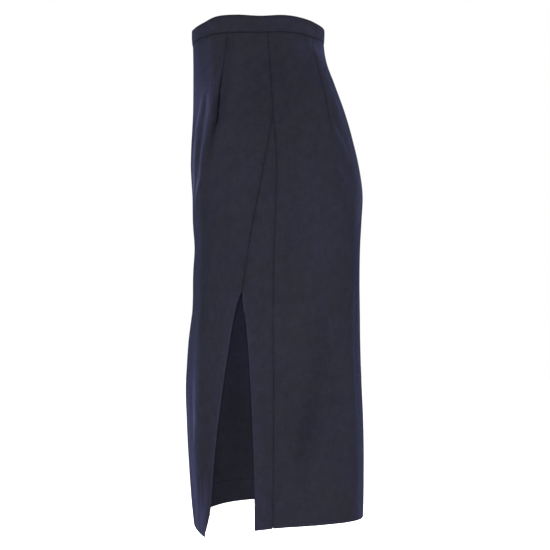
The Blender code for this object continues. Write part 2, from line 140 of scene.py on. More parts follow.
EDGES = [
    Edge(0.00, -0.0033, 0.0206, 0.0206, -0.7022, -0.7012),
    Edge(0.14, -0.0015, 0.0184, 0.0207, -0.7024, -0.6992),
    Edge(0.24, 0.0008, 0.0218, 0.0217, -0.7016, -0.6974),
    Edge(0.30, 0.0021, 0.0264, 0.0226, -0.6996, -0.6949),
    Edge(0.40, 0.0018, 0.0268, 0.0237, -0.6964, -0.6920),
    Edge(0.50, 0.0008, 0.0239, 0.0240, -0.6911, -0.6909),
    Edge(0.60, 0.0018, 0.0254, 0.0236, -0.6888, -0.6894),
    Edge(0.70, 0.0004, 0.0232, 0.0226, -0.6884, -0.6888),
    Edge(0.78, -0.0010, 0.0207, 0.0215, -0.6895, -0.6898),
    Edge(0.86, -0.0002, 0.0197, 0.0206, -0.6912, -0.6910),
    Edge(1.00, 0.0010, 0.0200, 0.0200, -0.6932, -0.6932),
]
Mark = namedtuple("Mark", "z y")
SIDE_SEAM = [
    Mark(0.030, 0.0150),
    Mark(0.000, 0.0150),
    Mark(-0.060, 0.0190),
    Mark(-0.120, 0.0224),
    Mark(-0.160, 0.0262),
    Mark(-0.196, 0.0277),
    Mark(-0.240, 0.0262),
    Mark(-0.300, 0.0238),
    Mark(-0.380, 0.0224),
    Mark(-0.500, 0.0230),
    Mark(-0.710, 0.0222),
]
SLANTING_SEAM = [
    Mark(-0.117, 0.0222),
    Mark(-0.1985, 0.0077),
    Mark(-0.2637, -0.0052),
    Mark(-0.3171, -0.0144),
    Mark(-0.361, -0.0208),
]
FRONT_SLIT_EDGE = [
    Mark(-0.361, -0.0208),
    Mark(-0.3655, -0.0230),
    Mark(-0.3742, -0.0264),
    Mark(-0.3976, -0.0322),
    Mark(-0.443, -0.0399),
    Mark(-0.486, -0.0467),
    Mark(-0.5473, -0.0553),
    Mark(-0.6202, -0.0627),
    Mark(-0.655, -0.0660),
    Mark(-0.676, -0.0708),
    Mark(-0.685, -0.0735),
    Mark(-0.6925, -0.0748),
]
SIDE_SLIT_EDGE = [
    Mark(-0.361, -0.0208),
    Mark(-0.3742, -0.0208),
    Mark(-0.3976, -0.0171),
    Mark(-0.443, -0.0130),
    Mark(-0.5172, -0.0086),
    Mark(-0.591, -0.0055),
    Mark(-0.628, -0.0045),
    Mark(-0.710, -0.0043),
]
FRONT_DART = [
    Mark(0.030, -0.0395),
    Mark(0.000, -0.0417),
    Mark(-0.042, -0.0468),
    Mark(-0.0875, -0.0537),
    Mark(-0.124, -0.0570),
]
BACK_DART = [
    Mark(0.030, 0.0750),
    Mark(0.000, 0.0778),
    Mark(-0.040, 0.0850),
    Mark(-0.085, 0.0960),
    Mark(-0.128, 0.1040),
]

# Broad folds: ridges over 0 and troughs under 0
FOLD_ENDS = 0.7  # how late a fold runs out at its ends: 0 is at once
Fold = namedtuple("Fold", "top bottom share_top share_bottom half_width height")
FOLDS = [
    Fold(-0.340, -0.660, 0.125, 0.125, 0.050, -0.0034),
    Fold(-0.370, -0.660, 0.215, 0.205, 0.030, 0.0022),
    Fold(-0.470, -0.690, 0.050, 0.060, 0.045, 0.0012),
    Fold(-0.390, -0.530, 0.055, 0.065, 0.034, 0.0012),
    Fold(-0.400, -0.665, 0.685, 0.535, 0.028, -0.0040),
    Fold(-0.340, -0.640, 0.790, 0.740, 0.034, 0.0030),
    Fold(-0.330, -0.620, 0.880, 0.860, 0.026, -0.0022),
    Fold(-0.060, -0.230, -0.35, -0.16, 0.016, 0.0023),
    Fold(-0.400, -0.690, -0.36, -0.31, 0.024, -0.0026),
    Fold(-0.450, -0.690, -0.12, -0.10, 0.022, 0.0020),
    Fold(-0.360, -0.640, -0.70, -0.62, 0.030, -0.0032),
    Fold(-0.310, -0.600, -0.87, -0.85, 0.026, -0.0026),
]

# Narrow creases, each a line down the cloth that changes in place, width and height
Crease = namedtuple("Crease", "z share half_width height")
CREASES = {
    "long_ridge_at_front": [
        Crease(-0.060, 0.264, 0.0080, 0.0000),
        Crease(-0.092, 0.262, 0.0090, 0.0012),
        Crease(-0.107, 0.262, 0.0095, 0.0016),
        Crease(-0.134, 0.247, 0.0100, 0.0018),
        Crease(-0.161, 0.230, 0.0105, 0.0018),
        Crease(-0.188, 0.211, 0.0110, 0.0016),
        Crease(-0.214, 0.164, 0.0110, 0.0012),
        Crease(-0.250, 0.112, 0.0110, 0.0000),
    ],
    "short_ridge_at_front": [
        Crease(-0.064, 0.238, 0.0080, 0.0000),
        Crease(-0.089, 0.212, 0.0085, 0.0010),
        Crease(-0.102, 0.203, 0.0095, 0.0014),
        Crease(-0.129, 0.170, 0.0100, 0.0014),
        Crease(-0.156, 0.150, 0.0100, 0.0013),
        Crease(-0.185, 0.133, 0.0100, 0.0008),
        Crease(-0.215, 0.100, 0.0100, 0.0000),
    ],
    "hollow_between_ridges": [
        Crease(-0.074, 0.246, 0.0080, 0.0000),
        Crease(-0.091, 0.236, 0.0090, -0.0010),
        Crease(-0.118, 0.213, 0.0100, -0.0014),
        Crease(-0.146, 0.200, 0.0105, -0.0014),
        Crease(-0.173, 0.184, 0.0105, -0.0011),
        Crease(-0.205, 0.155, 0.0100, 0.0000),
    ],
    "hollow_at_front_dart": [
        Crease(-0.062, 0.324, 0.0050, 0.0000),
        Crease(-0.082, 0.316, 0.0058, -0.0018),
        Crease(-0.097, 0.313, 0.0068, -0.0026),
        Crease(-0.110, 0.305, 0.0085, -0.0030),
        Crease(-0.124, 0.299, 0.0095, -0.0028),
        Crease(-0.137, 0.286, 0.0105, -0.0018),
        Crease(-0.152, 0.274, 0.0120, -0.0010),
        Crease(-0.176, 0.262, 0.0120, 0.0000),
    ],
    "corner_ridge": [
        Crease(-0.590, 0.250, 0.0070, 0.0000),
        Crease(-0.612, 0.256, 0.0070, 0.0010),
        Crease(-0.644, 0.254, 0.0065, 0.0015),
        Crease(-0.675, 0.228, 0.0060, 0.0014),
        Crease(-0.690, 0.220, 0.0060, 0.0012),
    ],
    "corner_hollow": [
        Crease(-0.605, 0.222, 0.0080, 0.0000),
        Crease(-0.640, 0.214, 0.0080, -0.0012),
        Crease(-0.690, 0.190, 0.0070, -0.0014),
    ],
    "streak_under_back_dart": [
        Crease(-0.120, 0.722, 0.0060, 0.0000),
        Crease(-0.136, 0.748, 0.0065, 0.0014),
        Crease(-0.153, 0.764, 0.0070, 0.0016),
        Crease(-0.168, 0.785, 0.0080, 0.0008),
        Crease(-0.200, 0.806, 0.0090, 0.0000),
    ],
    "hollow_at_back_dart": [
        Crease(-0.085, 0.737, 0.0060, 0.0000),
        Crease(-0.110, 0.725, 0.0075, -0.0012),
        Crease(-0.128, 0.716, 0.0080, -0.0014),
        Crease(-0.160, 0.712, 0.0110, 0.0000),
    ],
    "drag_from_front_dart": [
        Crease(-0.150, 0.330, 0.0110, 0.0000),
        Crease(-0.200, 0.345, 0.0130, -0.0009),
        Crease(-0.250, 0.362, 0.0150, -0.0008),
        Crease(-0.310, 0.380, 0.0160, 0.0000),
    ],
    "drag_over_left_hip": [
        Crease(-0.180, 0.560, 0.0180, 0.0000),
        Crease(-0.225, 0.600, 0.0180, 0.0010),
        Crease(-0.270, 0.655, 0.0200, 0.0009),
        Crease(-0.330, 0.700, 0.0200, 0.0000),
    ],
    "low_ridge_at_back": [
        Crease(-0.380, 0.770, 0.0150, 0.0000),
        Crease(-0.450, 0.735, 0.0160, 0.0014),
        Crease(-0.540, 0.690, 0.0180, 0.0016),
        Crease(-0.640, 0.655, 0.0180, 0.0000),
    ],
    "long_ridge_at_right_front": [
        Crease(-0.060, -0.300, 0.0060, 0.0000),
        Crease(-0.090, -0.285, 0.0060, 0.0010),
        Crease(-0.130, -0.255, 0.0070, 0.0015),
        Crease(-0.180, -0.215, 0.0080, 0.0012),
        Crease(-0.240, -0.170, 0.0090, 0.0000),
    ],
    "hollow_at_right_front_dart": [
        Crease(-0.080, -0.326, 0.0060, 0.0000),
        Crease(-0.108, -0.308, 0.0080, -0.0022),
        Crease(-0.124, -0.300, 0.0085, -0.0020),
        Crease(-0.160, -0.290, 0.0110, 0.0000),
    ],
    "hollow_at_right_back_dart": [
        Crease(-0.090, -0.735, 0.0060, 0.0000),
        Crease(-0.112, -0.725, 0.0075, -0.0012),
        Crease(-0.130, -0.716, 0.0085, -0.0012),
        Crease(-0.165, -0.712, 0.0110, 0.0000),
    ],
    "drag_over_right_hip": [
        Crease(-0.190, -0.540, 0.0180, 0.0000),
        Crease(-0.240, -0.590, 0.0180, 0.0011),
        Crease(-0.300, -0.640, 0.0200, 0.0008),
        Crease(-0.350, -0.680, 0.0200, 0.0000),
    ],
    "low_ridge_at_right": [
        Crease(-0.420, -0.460, 0.0140, 0.0000),
        Crease(-0.500, -0.450, 0.0150, 0.0014),
        Crease(-0.600, -0.430, 0.0170, 0.0016),
        Crease(-0.690, -0.415, 0.0170, 0.0006),
    ],
}

# Painted highlights over 0 and painted shade under 0, as lines down the cloth
Rub = namedtuple("Rub", "z share half_width strength")
PAINTED_STREAKS = {
    "long_ridge_at_front": [
        Rub(-0.078, 0.262, 0.0060, 0.00),
        Rub(-0.092, 0.258, 0.0070, 0.28),
        Rub(-0.107, 0.2590, 0.0075, 0.36),
        Rub(-0.120, 0.250, 0.0080, 0.38),
        Rub(-0.134, 0.243, 0.0080, 0.40),
        Rub(-0.161, 0.2245, 0.0080, 0.44),
        Rub(-0.180, 0.212, 0.0080, 0.50),
        Rub(-0.200, 0.193, 0.0090, 0.66),
        Rub(-0.213, 0.164, 0.0110, 0.76),
        Rub(-0.222, 0.145, 0.0110, 0.60),
        Rub(-0.245, 0.115, 0.0120, 0.00),
    ],
    "short_ridge_at_front": [
        Rub(-0.064, 0.235, 0.0070, 0.00),
        Rub(-0.089, 0.207, 0.0090, 0.25),
        Rub(-0.102, 0.193, 0.0110, 0.38),
        Rub(-0.116, 0.174, 0.0160, 0.45),
        Rub(-0.129, 0.162, 0.0160, 0.42),
        Rub(-0.143, 0.156, 0.0150, 0.52),
        Rub(-0.157, 0.144, 0.0150, 0.74),
        Rub(-0.185, 0.132, 0.0160, 0.70),
        Rub(-0.212, 0.110, 0.0160, 0.66),
        Rub(-0.230, 0.080, 0.0150, 0.00),
    ],
    "hollow_between_ridges": [
        Rub(-0.078, 0.240, 0.0060, 0.00),
        Rub(-0.089, 0.233, 0.0070, -0.16),
        Rub(-0.099, 0.228, 0.0080, -0.22),
        Rub(-0.110, 0.214, 0.0080, -0.24),
        Rub(-0.121, 0.200, 0.0080, -0.12),
        Rub(-0.136, 0.196, 0.0080, 0.00),
    ],
    "long_ridge_at_right_front": [
        Rub(-0.070, -0.295, 0.0070, 0.00),
        Rub(-0.110, -0.270, 0.0090, 0.25),
        Rub(-0.160, -0.230, 0.0100, 0.28),
        Rub(-0.220, -0.185, 0.0110, 0.00),
    ],
    "hollow_at_front_dart": [
        Rub(-0.070, 0.318, 0.0070, 0.00),
        Rub(-0.088, 0.312, 0.0100, -0.14),
        Rub(-0.107, 0.300, 0.0130, -0.36),
        Rub(-0.118, 0.298, 0.0120, -0.44),
        Rub(-0.129, 0.293, 0.0125, -0.52),
        Rub(-0.138, 0.286, 0.0130, -0.40),
        Rub(-0.151, 0.276, 0.0150, -0.26),
        Rub(-0.165, 0.270, 0.0170, -0.12),
        Rub(-0.190, 0.262, 0.0170, 0.00),
    ],
    "front_at_hip": [
        Rub(-0.262, 0.110, 0.0300, 0.00),
        Rub(-0.300, 0.110, 0.0400, -0.10),
        Rub(-0.350, 0.115, 0.0400, -0.14),
        Rub(-0.385, 0.125, 0.0400, -0.08),
        Rub(-0.410, 0.140, 0.0400, 0.00),
    ],
    "lower_front": [
        Rub(-0.420, 0.130, 0.0360, 0.00),
        Rub(-0.460, 0.130, 0.0360, 0.06),
        Rub(-0.500, 0.130, 0.0360, 0.14),
        Rub(-0.560, 0.140, 0.0360, 0.26),
        Rub(-0.620, 0.155, 0.0380, 0.34),
        Rub(-0.660, 0.170, 0.0400, 0.34),
        Rub(-0.692, 0.180, 0.0420, 0.36),
    ],
    "lower_front_edge": [
        Rub(-0.405, 0.200, 0.0140, 0.00),
        Rub(-0.430, 0.206, 0.0170, 0.16),
        Rub(-0.452, 0.210, 0.0180, 0.24),
        Rub(-0.480, 0.212, 0.0180, 0.28),
        Rub(-0.530, 0.214, 0.0180, 0.24),
        Rub(-0.575, 0.214, 0.0160, 0.14),
        Rub(-0.620, 0.215, 0.0140, 0.00),
    ],
    "lower_front_ridge": [
        Rub(-0.460, 0.205, 0.0110, 0.00),
        Rub(-0.485, 0.205, 0.0110, 0.20),
        Rub(-0.505, 0.203, 0.0110, 0.34),
        Rub(-0.545, 0.200, 0.0105, 0.42),
        Rub(-0.562, 0.190, 0.0105, 0.34),
        Rub(-0.580, 0.175, 0.0105, 0.14),
        Rub(-0.605, 0.160, 0.0105, 0.00),
    ],
    "lower_front_contour": [
        Rub(-0.480, 0.090, 0.0160, 0.00),
        Rub(-0.515, 0.090, 0.0160, 0.30),
        Rub(-0.590, 0.090, 0.0160, 0.30),
        Rub(-0.640, 0.090, 0.0160, 0.16),
        Rub(-0.692, 0.090, 0.0160, 0.16),
    ],
    "beside_front_dart": [
        Rub(-0.002, 0.372, 0.0130, 0.00),
        Rub(-0.018, 0.369, 0.0150, -0.10),
        Rub(-0.040, 0.367, 0.0150, -0.10),
        Rub(-0.062, 0.352, 0.0160, -0.14),
        Rub(-0.092, 0.334, 0.0150, -0.18),
        Rub(-0.108, 0.330, 0.0140, -0.20),
        Rub(-0.124, 0.322, 0.0140, -0.14),
        Rub(-0.142, 0.310, 0.0120, 0.00),
    ],
    "trough_at_back": [
        Rub(-0.390, 0.655, 0.0220, 0.00),
        Rub(-0.420, 0.650, 0.0240, -0.11),
        Rub(-0.470, 0.638, 0.0260, -0.12),
        Rub(-0.505, 0.622, 0.0260, -0.11),
        Rub(-0.538, 0.598, 0.0260, -0.16),
        Rub(-0.573, 0.584, 0.0260, -0.16),
        Rub(-0.614, 0.578, 0.0240, -0.09),
        Rub(-0.660, 0.575, 0.0240, 0.00),
    ],
    "back_at_hip": [
        Rub(-0.150, 0.740, 0.0200, 0.00),
        Rub(-0.172, 0.750, 0.0280, 0.06),
        Rub(-0.215, 0.755, 0.0320, 0.08),
        Rub(-0.245, 0.800, 0.0360, 0.00),
        Rub(-0.290, 0.838, 0.0350, -0.34),
        Rub(-0.340, 0.845, 0.0330, -0.46),
        Rub(-0.420, 0.843, 0.0320, -0.46),
        Rub(-0.480, 0.836, 0.0300, -0.36),
        Rub(-0.580, 0.826, 0.0280, -0.25),
        Rub(-0.620, 0.826, 0.0260, -0.12),
        Rub(-0.650, 0.826, 0.0260, 0.00),
    ],
    "back_contour": [
        Rub(-0.170, 0.885, 0.0120, 0.00),
        Rub(-0.195, 0.882, 0.0130, 0.28),
        Rub(-0.245, 0.882, 0.0130, 0.22),
        Rub(-0.270, 0.885, 0.0120, 0.00),
    ],
    "low_at_back": [
        Rub(-0.610, 0.760, 0.0400, 0.00),
        Rub(-0.650, 0.800, 0.0400, 0.05),
        Rub(-0.692, 0.820, 0.0400, 0.10),
    ],
    "streak_under_back_dart": [
        Rub(-0.118, 0.724, 0.0060, 0.00),
        Rub(-0.137, 0.7465, 0.0055, 0.24),
        Rub(-0.153, 0.7625, 0.0065, 0.16),
        Rub(-0.168, 0.7835, 0.0090, 0.10),
        Rub(-0.195, 0.808, 0.0100, 0.00),
    ],
    "under_band_at_back": [
        Rub(0.0250, 0.720, 0.0160, 0.00),
        Rub(-0.004, 0.755, 0.0180, 0.20),
        Rub(-0.018, 0.775, 0.0220, 0.32),
        Rub(-0.030, 0.815, 0.0200, 0.08),
        Rub(-0.042, 0.830, 0.0200, -0.16),
        Rub(-0.058, 0.840, 0.0200, -0.12),
        Rub(-0.080, 0.850, 0.0180, 0.00),
    ],
    "patch_under_band_at_back": [
        Rub(-0.006, 0.845, 0.0120, 0.00),
        Rub(-0.013, 0.845, 0.0160, 0.22),
        Rub(-0.020, 0.852, 0.0170, 0.42),
        Rub(-0.026, 0.858, 0.0160, 0.24),
        Rub(-0.033, 0.858, 0.0140, 0.00),
    ],
    "before_back_dart": [
        Rub(0.005, 0.690, 0.0300, 0.00),
        Rub(-0.004, 0.690, 0.0320, 0.05),
        Rub(-0.020, 0.690, 0.0340, 0.10),
        Rub(-0.038, 0.700, 0.0340, 0.08),
        Rub(-0.070, 0.710, 0.0340, 0.00),
    ],
    "corner_ridge": [
        Rub(-0.600, 0.254, 0.0080, 0.00),
        Rub(-0.628, 0.257, 0.0080, 0.14),
        Rub(-0.650, 0.250, 0.0080, 0.22),
        Rub(-0.690, 0.225, 0.0080, 0.22),
    ],
}
UPPER_FRONT_SHARE = 0.262  # painted sheen over the belly, between the darts
UPPER_FRONT_FADE = 0.050
PaintedLevel = namedtuple("PaintedLevel", "z strength")
# painted sheen on the belly, by height
UPPER_FRONT_PAINTED_SHEEN = [
    PaintedLevel(0.026, 0.00),
    PaintedLevel(0.000, 0.06),
    PaintedLevel(-0.030, 0.13),
    PaintedLevel(-0.060, 0.19),
    PaintedLevel(-0.088, 0.26),
    PaintedLevel(-0.110, 0.19),
    PaintedLevel(-0.135, 0.05),
    PaintedLevel(-0.160, 0.00),
]
INSIDE_PAINTED_LIGHT = [  # painted light and shade on the inner face: paler up high, darker towards the hem
    PaintedLevel(-0.300, 0.12),
    PaintedLevel(-0.440, 0.12),
    PaintedLevel(-0.520, 0.05),
    PaintedLevel(-0.580, -0.04),
    PaintedLevel(-0.640, -0.12),
    PaintedLevel(-0.710, -0.15),
]
EDGE_PAINTED_HIGHLIGHT = 0.06  # painted highlight along every free edge
EDGE_PAINTED_HIGHLIGHT_WIDTH = 0.0022
TURNING_RIM_PAINTED_LIGHT = 0.35  # painted light on the raw edges of turnings, against the shade along them
SEAM_SHADE = 0.085  # beside a seam
SEAM_SHADE_WIDTH = 0.0034
SLANTING_GROOVE_PAINTED_SHADE = 0.14  # painted shade in a seam's groove
# painted shade in the waist seam's groove
WAIST_GROOVE_PAINTED_SHADE = 0.12
# painted shade along the band's top rim
BAND_TOP_RIM_PAINTED_SHADE = 0.45
BAND_TOP_SHADE = 0.22
SLIT_PAINTED_SHEEN = 0.03  # painted sheen beside the slit
SLIT_PAINTED_SHEEN_WIDTH = 0.014

# Painted shade in each dart's groove, down its length
Shade = namedtuple("Shade", "z dark half_width")
FRONT_DART_SHADES = [
    Shade(0.000, 0.18, 0.0020),
    Shade(-0.035, 0.12, 0.0020),
    Shade(-0.052, 0.24, 0.0024),
    Shade(-0.066, 0.50, 0.0040),
    Shade(-0.080, 0.50, 0.0050),
    Shade(-0.093, 0.62, 0.0046),
    Shade(-0.108, 0.44, 0.0054),
    Shade(-0.119, 0.50, 0.0052),
    Shade(-0.126, 0.32, 0.0050),
    Shade(-0.132, 0.00, 0.0045),
]
BACK_DART_SHADES = [
    Shade(0.000, 0.30, 0.0020),
    Shade(-0.060, 0.32, 0.0022),
    Shade(-0.100, 0.36, 0.0026),
    Shade(-0.122, 0.30, 0.0028),
    Shade(-0.131, 0.00, 0.0028),
]

# Slow unevenness of worn cloth: the size of a swell each way, and its height
Swell = namedtuple("Swell", "round down height place")
SWELLS = [
    Swell(0.060, 0.150, 0.0008, 3.7),
    Swell(0.028, 0.060, 0.00035, 11.3),
    Swell(0.012, 0.020, 0.00010, 23.9),
]

# Concealed zip in the right side seam
TAPE_HALF = 0.012  # one tape's width
TAPE_WALL = 0.0007
TAPE_TOP = 0.0215
TAPE_BOTTOM = -0.188
TAPE_DEPTH = 0.0026  # from the face of the cloth to that of the tapes
COIL_TOP = 0.0090
COIL_BOTTOM = -0.1800
COIL_PITCH = 0.0012
COIL_WIRE = 0.00030  # radius
COIL_HALF = 0.0016
COIL_BACK = 2.6  # height of a turn's back, in wire radii
COIL_BACK_HALF = 0.4  # of the coil's half width
COIL_SIDES = 6
SLIDER_BEVEL = 0.00012
PULL_BEVEL = 0.00018
BEVEL_STEPS = 2
BEVEL_ANGLE = 32.0  # degrees between two faces, from which their edge is broken
FLAT_ANGLE = 1.0  # degrees, up to which faces are one
WELD = 0.000001

# Stitches
THREAD = 0.00017  # radius
THREAD_SIDES = 5
ASKEW = (0.31, 0.17, 0.94)  # a way that no thread runs
OVERLOCK_PITCH = 0.0026
OVERLOCK_WIDTH = 0.0032
OVERLOCK_RISE = 1.6  # the loop's height over the edge, in radii
OVERLOCK_UNEVEN = 0.12
TACK_HALF = 0.0012  # half a hem stitch's length
TACK_DOWN = 0.0016  # from the turning's edge to its ends
TACK_UP = 0.0002  # and to its top
TACK_UNEVEN = 0.1
HEM_STITCH_PITCH = 0.0090
STEP_DOWN = 0.004  # between the points of a path down the skirt
STEP_ROUND = 0.006  # and round it
STITCH_SEED = 7

# Working out the form
RING_POINTS = 481
NORMAL_REACH = 0.004  # to each side, for the cloth's way out
SAME_PLACE = 0.00001  # closer than this is the same place
TINY = 1e-12
COUNT_ROWS = 6  # rows that are looked at for a panel's widest

# Twill: its ribs, the yarns' nubs across them, and a fuzz, as shares of the height
TWILL_DRIFT = 260.0  # places a metre
TWILL_UNEVEN = 0.35
NUB_SLOPE = 0.3
NUB_PITCH = 0.6  # of the ribs' pitch
RIB_HEIGHT = 0.65
NUB_HEIGHT = 0.35
FUZZ_HEIGHT = 0.30
FUZZ_PLACES = 2600.0
FUZZ_DETAIL = 1.0

# Uneven tone
TONE_GRAINS = (  # places a metre across, up and into the cloth
    ("Slow", (9.0, 6.0, 9.0)),
    ("Clouds", (70.0, 55.0, 60.0)),
    ("Slubs", (330.0, 70.0, 200.0)),
    ("Slubs", (80.0, 420.0, 200.0)),
)
GRAIN_DETAIL = (3.0, 0.6)  # detail and roughness of the noise
BLUE_ASIDE = (1.7, 0.9, 2.3)  # bluer places are read elsewhere than the tone
BLUE_FINE = (55.0, 3.0, 0.65)  # places a metre, detail, roughness
BLUE_BROAD = (7.0, 1.0)
BLUE_BROAD_PART = 0.6
LINT_PLACES = (42.0, 42.0, 14.7)  # a metre each way
LINT_SIZE = 0.030

# Cloths: linear colours, lengths in metres, and how strong each unevenness is
Cloth = namedtuple(
    "Cloth",
    "dark light rubbed bare roughness sheen sheen_rough pitch lean depth"
    " slow clouds slubs blue lint",
)
UNEVEN = ("slow", "clouds", "slubs", "blue", "lint")  # what cloth_tone takes from a cloth
WOOL = Cloth(
    dark=(0.0071, 0.0072, 0.0108),
    light=(0.0101, 0.0102, 0.0153),
    # painted sheen colours: the first where it is faint, the second at full strength on the
    # crests
    rubbed=(0.0175, 0.0177, 0.0530),
    bare=(0.0395, 0.0400, 0.0560),
    roughness=0.85,
    sheen=0.042,
    sheen_rough=0.16,
    pitch=0.0011,
    lean=0.6,
    depth=0.00012,
    slow=0.36,
    clouds=0.42,
    slubs=0.48,
    blue=0.42,
    lint=0.5,
)
TAPE = WOOL._replace(
    dark=(0.0100, 0.0105, 0.0190),
    light=(0.0140, 0.0150, 0.0260),
    roughness=0.7,
    sheen=0.03,
    pitch=0.0007,
    lean=0.0,
    depth=0.00008,
    slow=0.05,
    clouds=0.05,
    slubs=0.08,
    blue=0.1,
    lint=0.0,
)
THREAD_LOOK = WOOL._replace(
    # paler than the wool, partly as painted light against the shade along the stitched edges
    dark=(0.0130, 0.0130, 0.0210),
    light=(0.0210, 0.0210, 0.0330),
    roughness=0.6,
    sheen=0.03,
    pitch=0.0004,
    lean=1.0,
    depth=0.00003,
    slow=0.0,
    clouds=0.0,
    slubs=0.2,
    blue=0.0,
    lint=0.0,
)
CLOTH_SPECULAR = 0.0
SHEEN_TINT = (0.38, 0.42, 1.0)
LACQUER_DARK = (0.012, 0.013, 0.026)
LACQUER_LIGHT = (0.020, 0.022, 0.040)
LACQUER_GRAIN = (900.0, 3.0)  # places a metre, detail
LACQUER_ROUGH = 0.25
LACQUER_MOTTLE = 0.2  # rougher by this where it is light
LACQUER_DEPTH = 0.00002
LACQUER_METAL = 0.35

# Studio
FLOOR_COLOUR = (0.85, 0.85, 0.85)
FLOOR_GLOW = 0.35
FLOOR_RADIUS = 9.0
FLOOR_Z = -1.06
FLOOR_SIDES = 96
WHITE = (1.0, 1.0, 1.0, 1.0)
SKY = 1.0
SKIRT_MIDDLE = (0.0, 0.02, -0.35)
LAMPS = (  # name, place, size, power
    ("lamp_key", (2.45, 0.025, -0.335), 0.05, 92.0),
    ("lamp_front", (-0.4, -2.5, 0.3), 1.0, 74.0),
    ("lamp_back", (-0.4, 2.5, 0.3), 1.0, 80.0),
    ("lamp_right", (-2.6, 0.03, 0.3), 1.0, 60.0),
)


def read(table, column, place):
    """The named column of a table at places of its first column, on a smooth curve."""
    rows = sorted(table)
    places = np.array([row[0] for row in rows])
    values = np.array([getattr(row, column) for row in rows])
    slopes = np.gradient(values, places)
    place = np.clip(place, places[0], places[-1])
    i = np.clip(np.searchsorted(places, place) - 1, 0, len(rows) - 2)
    step = places[i + 1] - places[i]
    t = (place - places[i]) / step
    start = (2 * t**3 - 3 * t**2 + 1) * values[i] + (t**3 - 2 * t**2 + t) * step * slopes[i]
    end = (3 * t**2 - 2 * t**3) * values[i + 1] + (t**3 - t**2) * step * slopes[i + 1]
    return start + end


@lru_cache(maxsize=None)
def half_ring(z):
    """The left half of the form at height z, centre front to centre back: points and girth."""
    power = 2 / read(SECTIONS, "squareness", z)
    wide = read(SECTIONS, "half_width", z)
    middle = read(SECTIONS, "widest_y", z)
    ahead = middle - read(SECTIONS, "front", z)
    behind = read(SECTIONS, "back", z) - middle
    angle = np.linspace(-pi / 2, pi / 2, RING_POINTS)
    x = wide * np.abs(np.cos(angle)) ** power
    y = np.abs(np.sin(angle)) ** power
    y = middle + np.where(angle < 0, -ahead * y, behind * y)
    x[0] = x[-1] = 0.0
    girth = np.concatenate([[0.0], np.cumsum(np.hypot(np.diff(x), np.diff(y)))])
    return x, y, girth


def half_girth(z):
    """The girth from centre front to centre back."""
    return half_ring(z)[2][-1]


def share_at(z, y):
    """The girth share of the left side's point with this y."""
    _, ring_y, girth = half_ring(z)
    return np.interp(y, ring_y, girth) / girth[-1]


def hump(t):
    """1 at t = 0, falling smoothly to 0 at t = -1 and 1."""
    t = np.clip(np.abs(t), 0, 1)
    return (1 - t * t) ** 2


def wrapped(share):
    """The same place, counted from -1 to 1."""
    return (np.asarray(share, float) + 1) % 2 - 1


def along_lines(lines, column, z, share):
    """What the lines of a table add along one row, most in the middle of each."""
    total = np.zeros(len(share))
    for line in lines.values():
        if line[-1].z < z < line[0].z:
            across = (share - read(line, "share", z)) * half_girth(z)
            total += read(line, column, z) * hump(across / read(line, "half_width", z))
    return total


def relief(z, share):
    """How far folds and creases move the cloth outwards along one row."""
    total = along_lines(CREASES, "height", z, share)
    for fold in FOLDS:
        down = (fold.top - z) / (fold.top - fold.bottom)
        if 0 < down < 1:
            centre = fold.share_top + (fold.share_bottom - fold.share_top) * down
            across = hump((share - centre) * half_girth(z) / fold.half_width)
            total += fold.height * across * np.sin(pi * down) ** FOLD_ENDS
    return total


def rubbed(z, share):
    """Painted highlight on the nap along one row, or painted shade under 0."""
    share = wrapped(share)
    fade = (UPPER_FRONT_SHARE + UPPER_FRONT_FADE - np.abs(share)) / UPPER_FRONT_FADE
    inside = np.clip(fade, 0, 1)
    upper_front_sheen = read(UPPER_FRONT_PAINTED_SHEEN, "strength", z) * inside * inside * (3 - 2 * inside)
    return along_lines(PAINTED_STREAKS, "strength", z, share) + upper_front_sheen


def hang(z, share):
    """The real height of a point, from the lines of the waist seam, band edge and hem."""
    turn = np.abs(share)
    seam = read(EDGES, "seam", turn)
    line, full = ("top_", BAND_HEIGHT) if z > 0 else ("hem_", HEM_Z)
    left, right = (read(EDGES, line + side, turn) for side in ("left", "right"))
    return seam + (np.where(share < 0, right, left) - seam) * z / full


def swell(point):
    """The slow unevenness at a point of the form."""
    total = 0.0
    for wave in SWELLS:
        x, y, z = point
        at = Vector((x / wave.round, y / wave.round, z / wave.down + wave.place))
        total += wave.height * noise.noise(at)
    return total


def form_row(z, share, out=0.0):
    """Points of the form at one height, for many girth shares, moved outwards by out."""
    share = wrapped(share)
    ring_x, ring_y, girth = half_ring(z)
    at = np.abs(share) * girth[-1]
    side = np.where(share < 0, -1.0, 1.0)
    reach = np.minimum(NORMAL_REACH, np.minimum(at, girth[-1] - at))
    along_x = np.interp(at + reach, girth, ring_x) - np.interp(at - reach, girth, ring_x)
    along_y = np.interp(at + reach, girth, ring_y) - np.interp(at - reach, girth, ring_y)
    flat = np.hypot(along_x, along_y) < SAME_PLACE
    along_x = np.where(flat, np.where(at < girth[-1] / 2, 1.0, -1.0), along_x)
    along_y = np.where(flat, 0.0, along_y)
    length = np.hypot(along_x, along_y)
    x = side * np.interp(at, girth, ring_x)
    y = np.interp(at, girth, ring_y)
    out = out + relief(z, share) + np.array([swell(place) for place in zip(x, y, x * 0 + z)])
    x = x + side * out * along_y / length
    y = y - out * along_x / length
    return np.stack([x, y, hang(z, share)], 1)


def cloth_row(z, share, shift, out=0.0):
    """The same for a piece that hangs its own way, which shift gives.

    shift turns a height and its girth shares into moves sideways, outwards and down.
    """
    sideways, outwards, down = shift(z, share)
    points = form_row(z, share, outwards + out)
    points[:, 0] += sideways
    points[:, 2] -= down
    return points


def cloth_map(z, share):
    """Where the same points lie on the flat cloth, in metres."""
    return np.stack([share * half_girth(z), np.full(len(share), z)], 1)


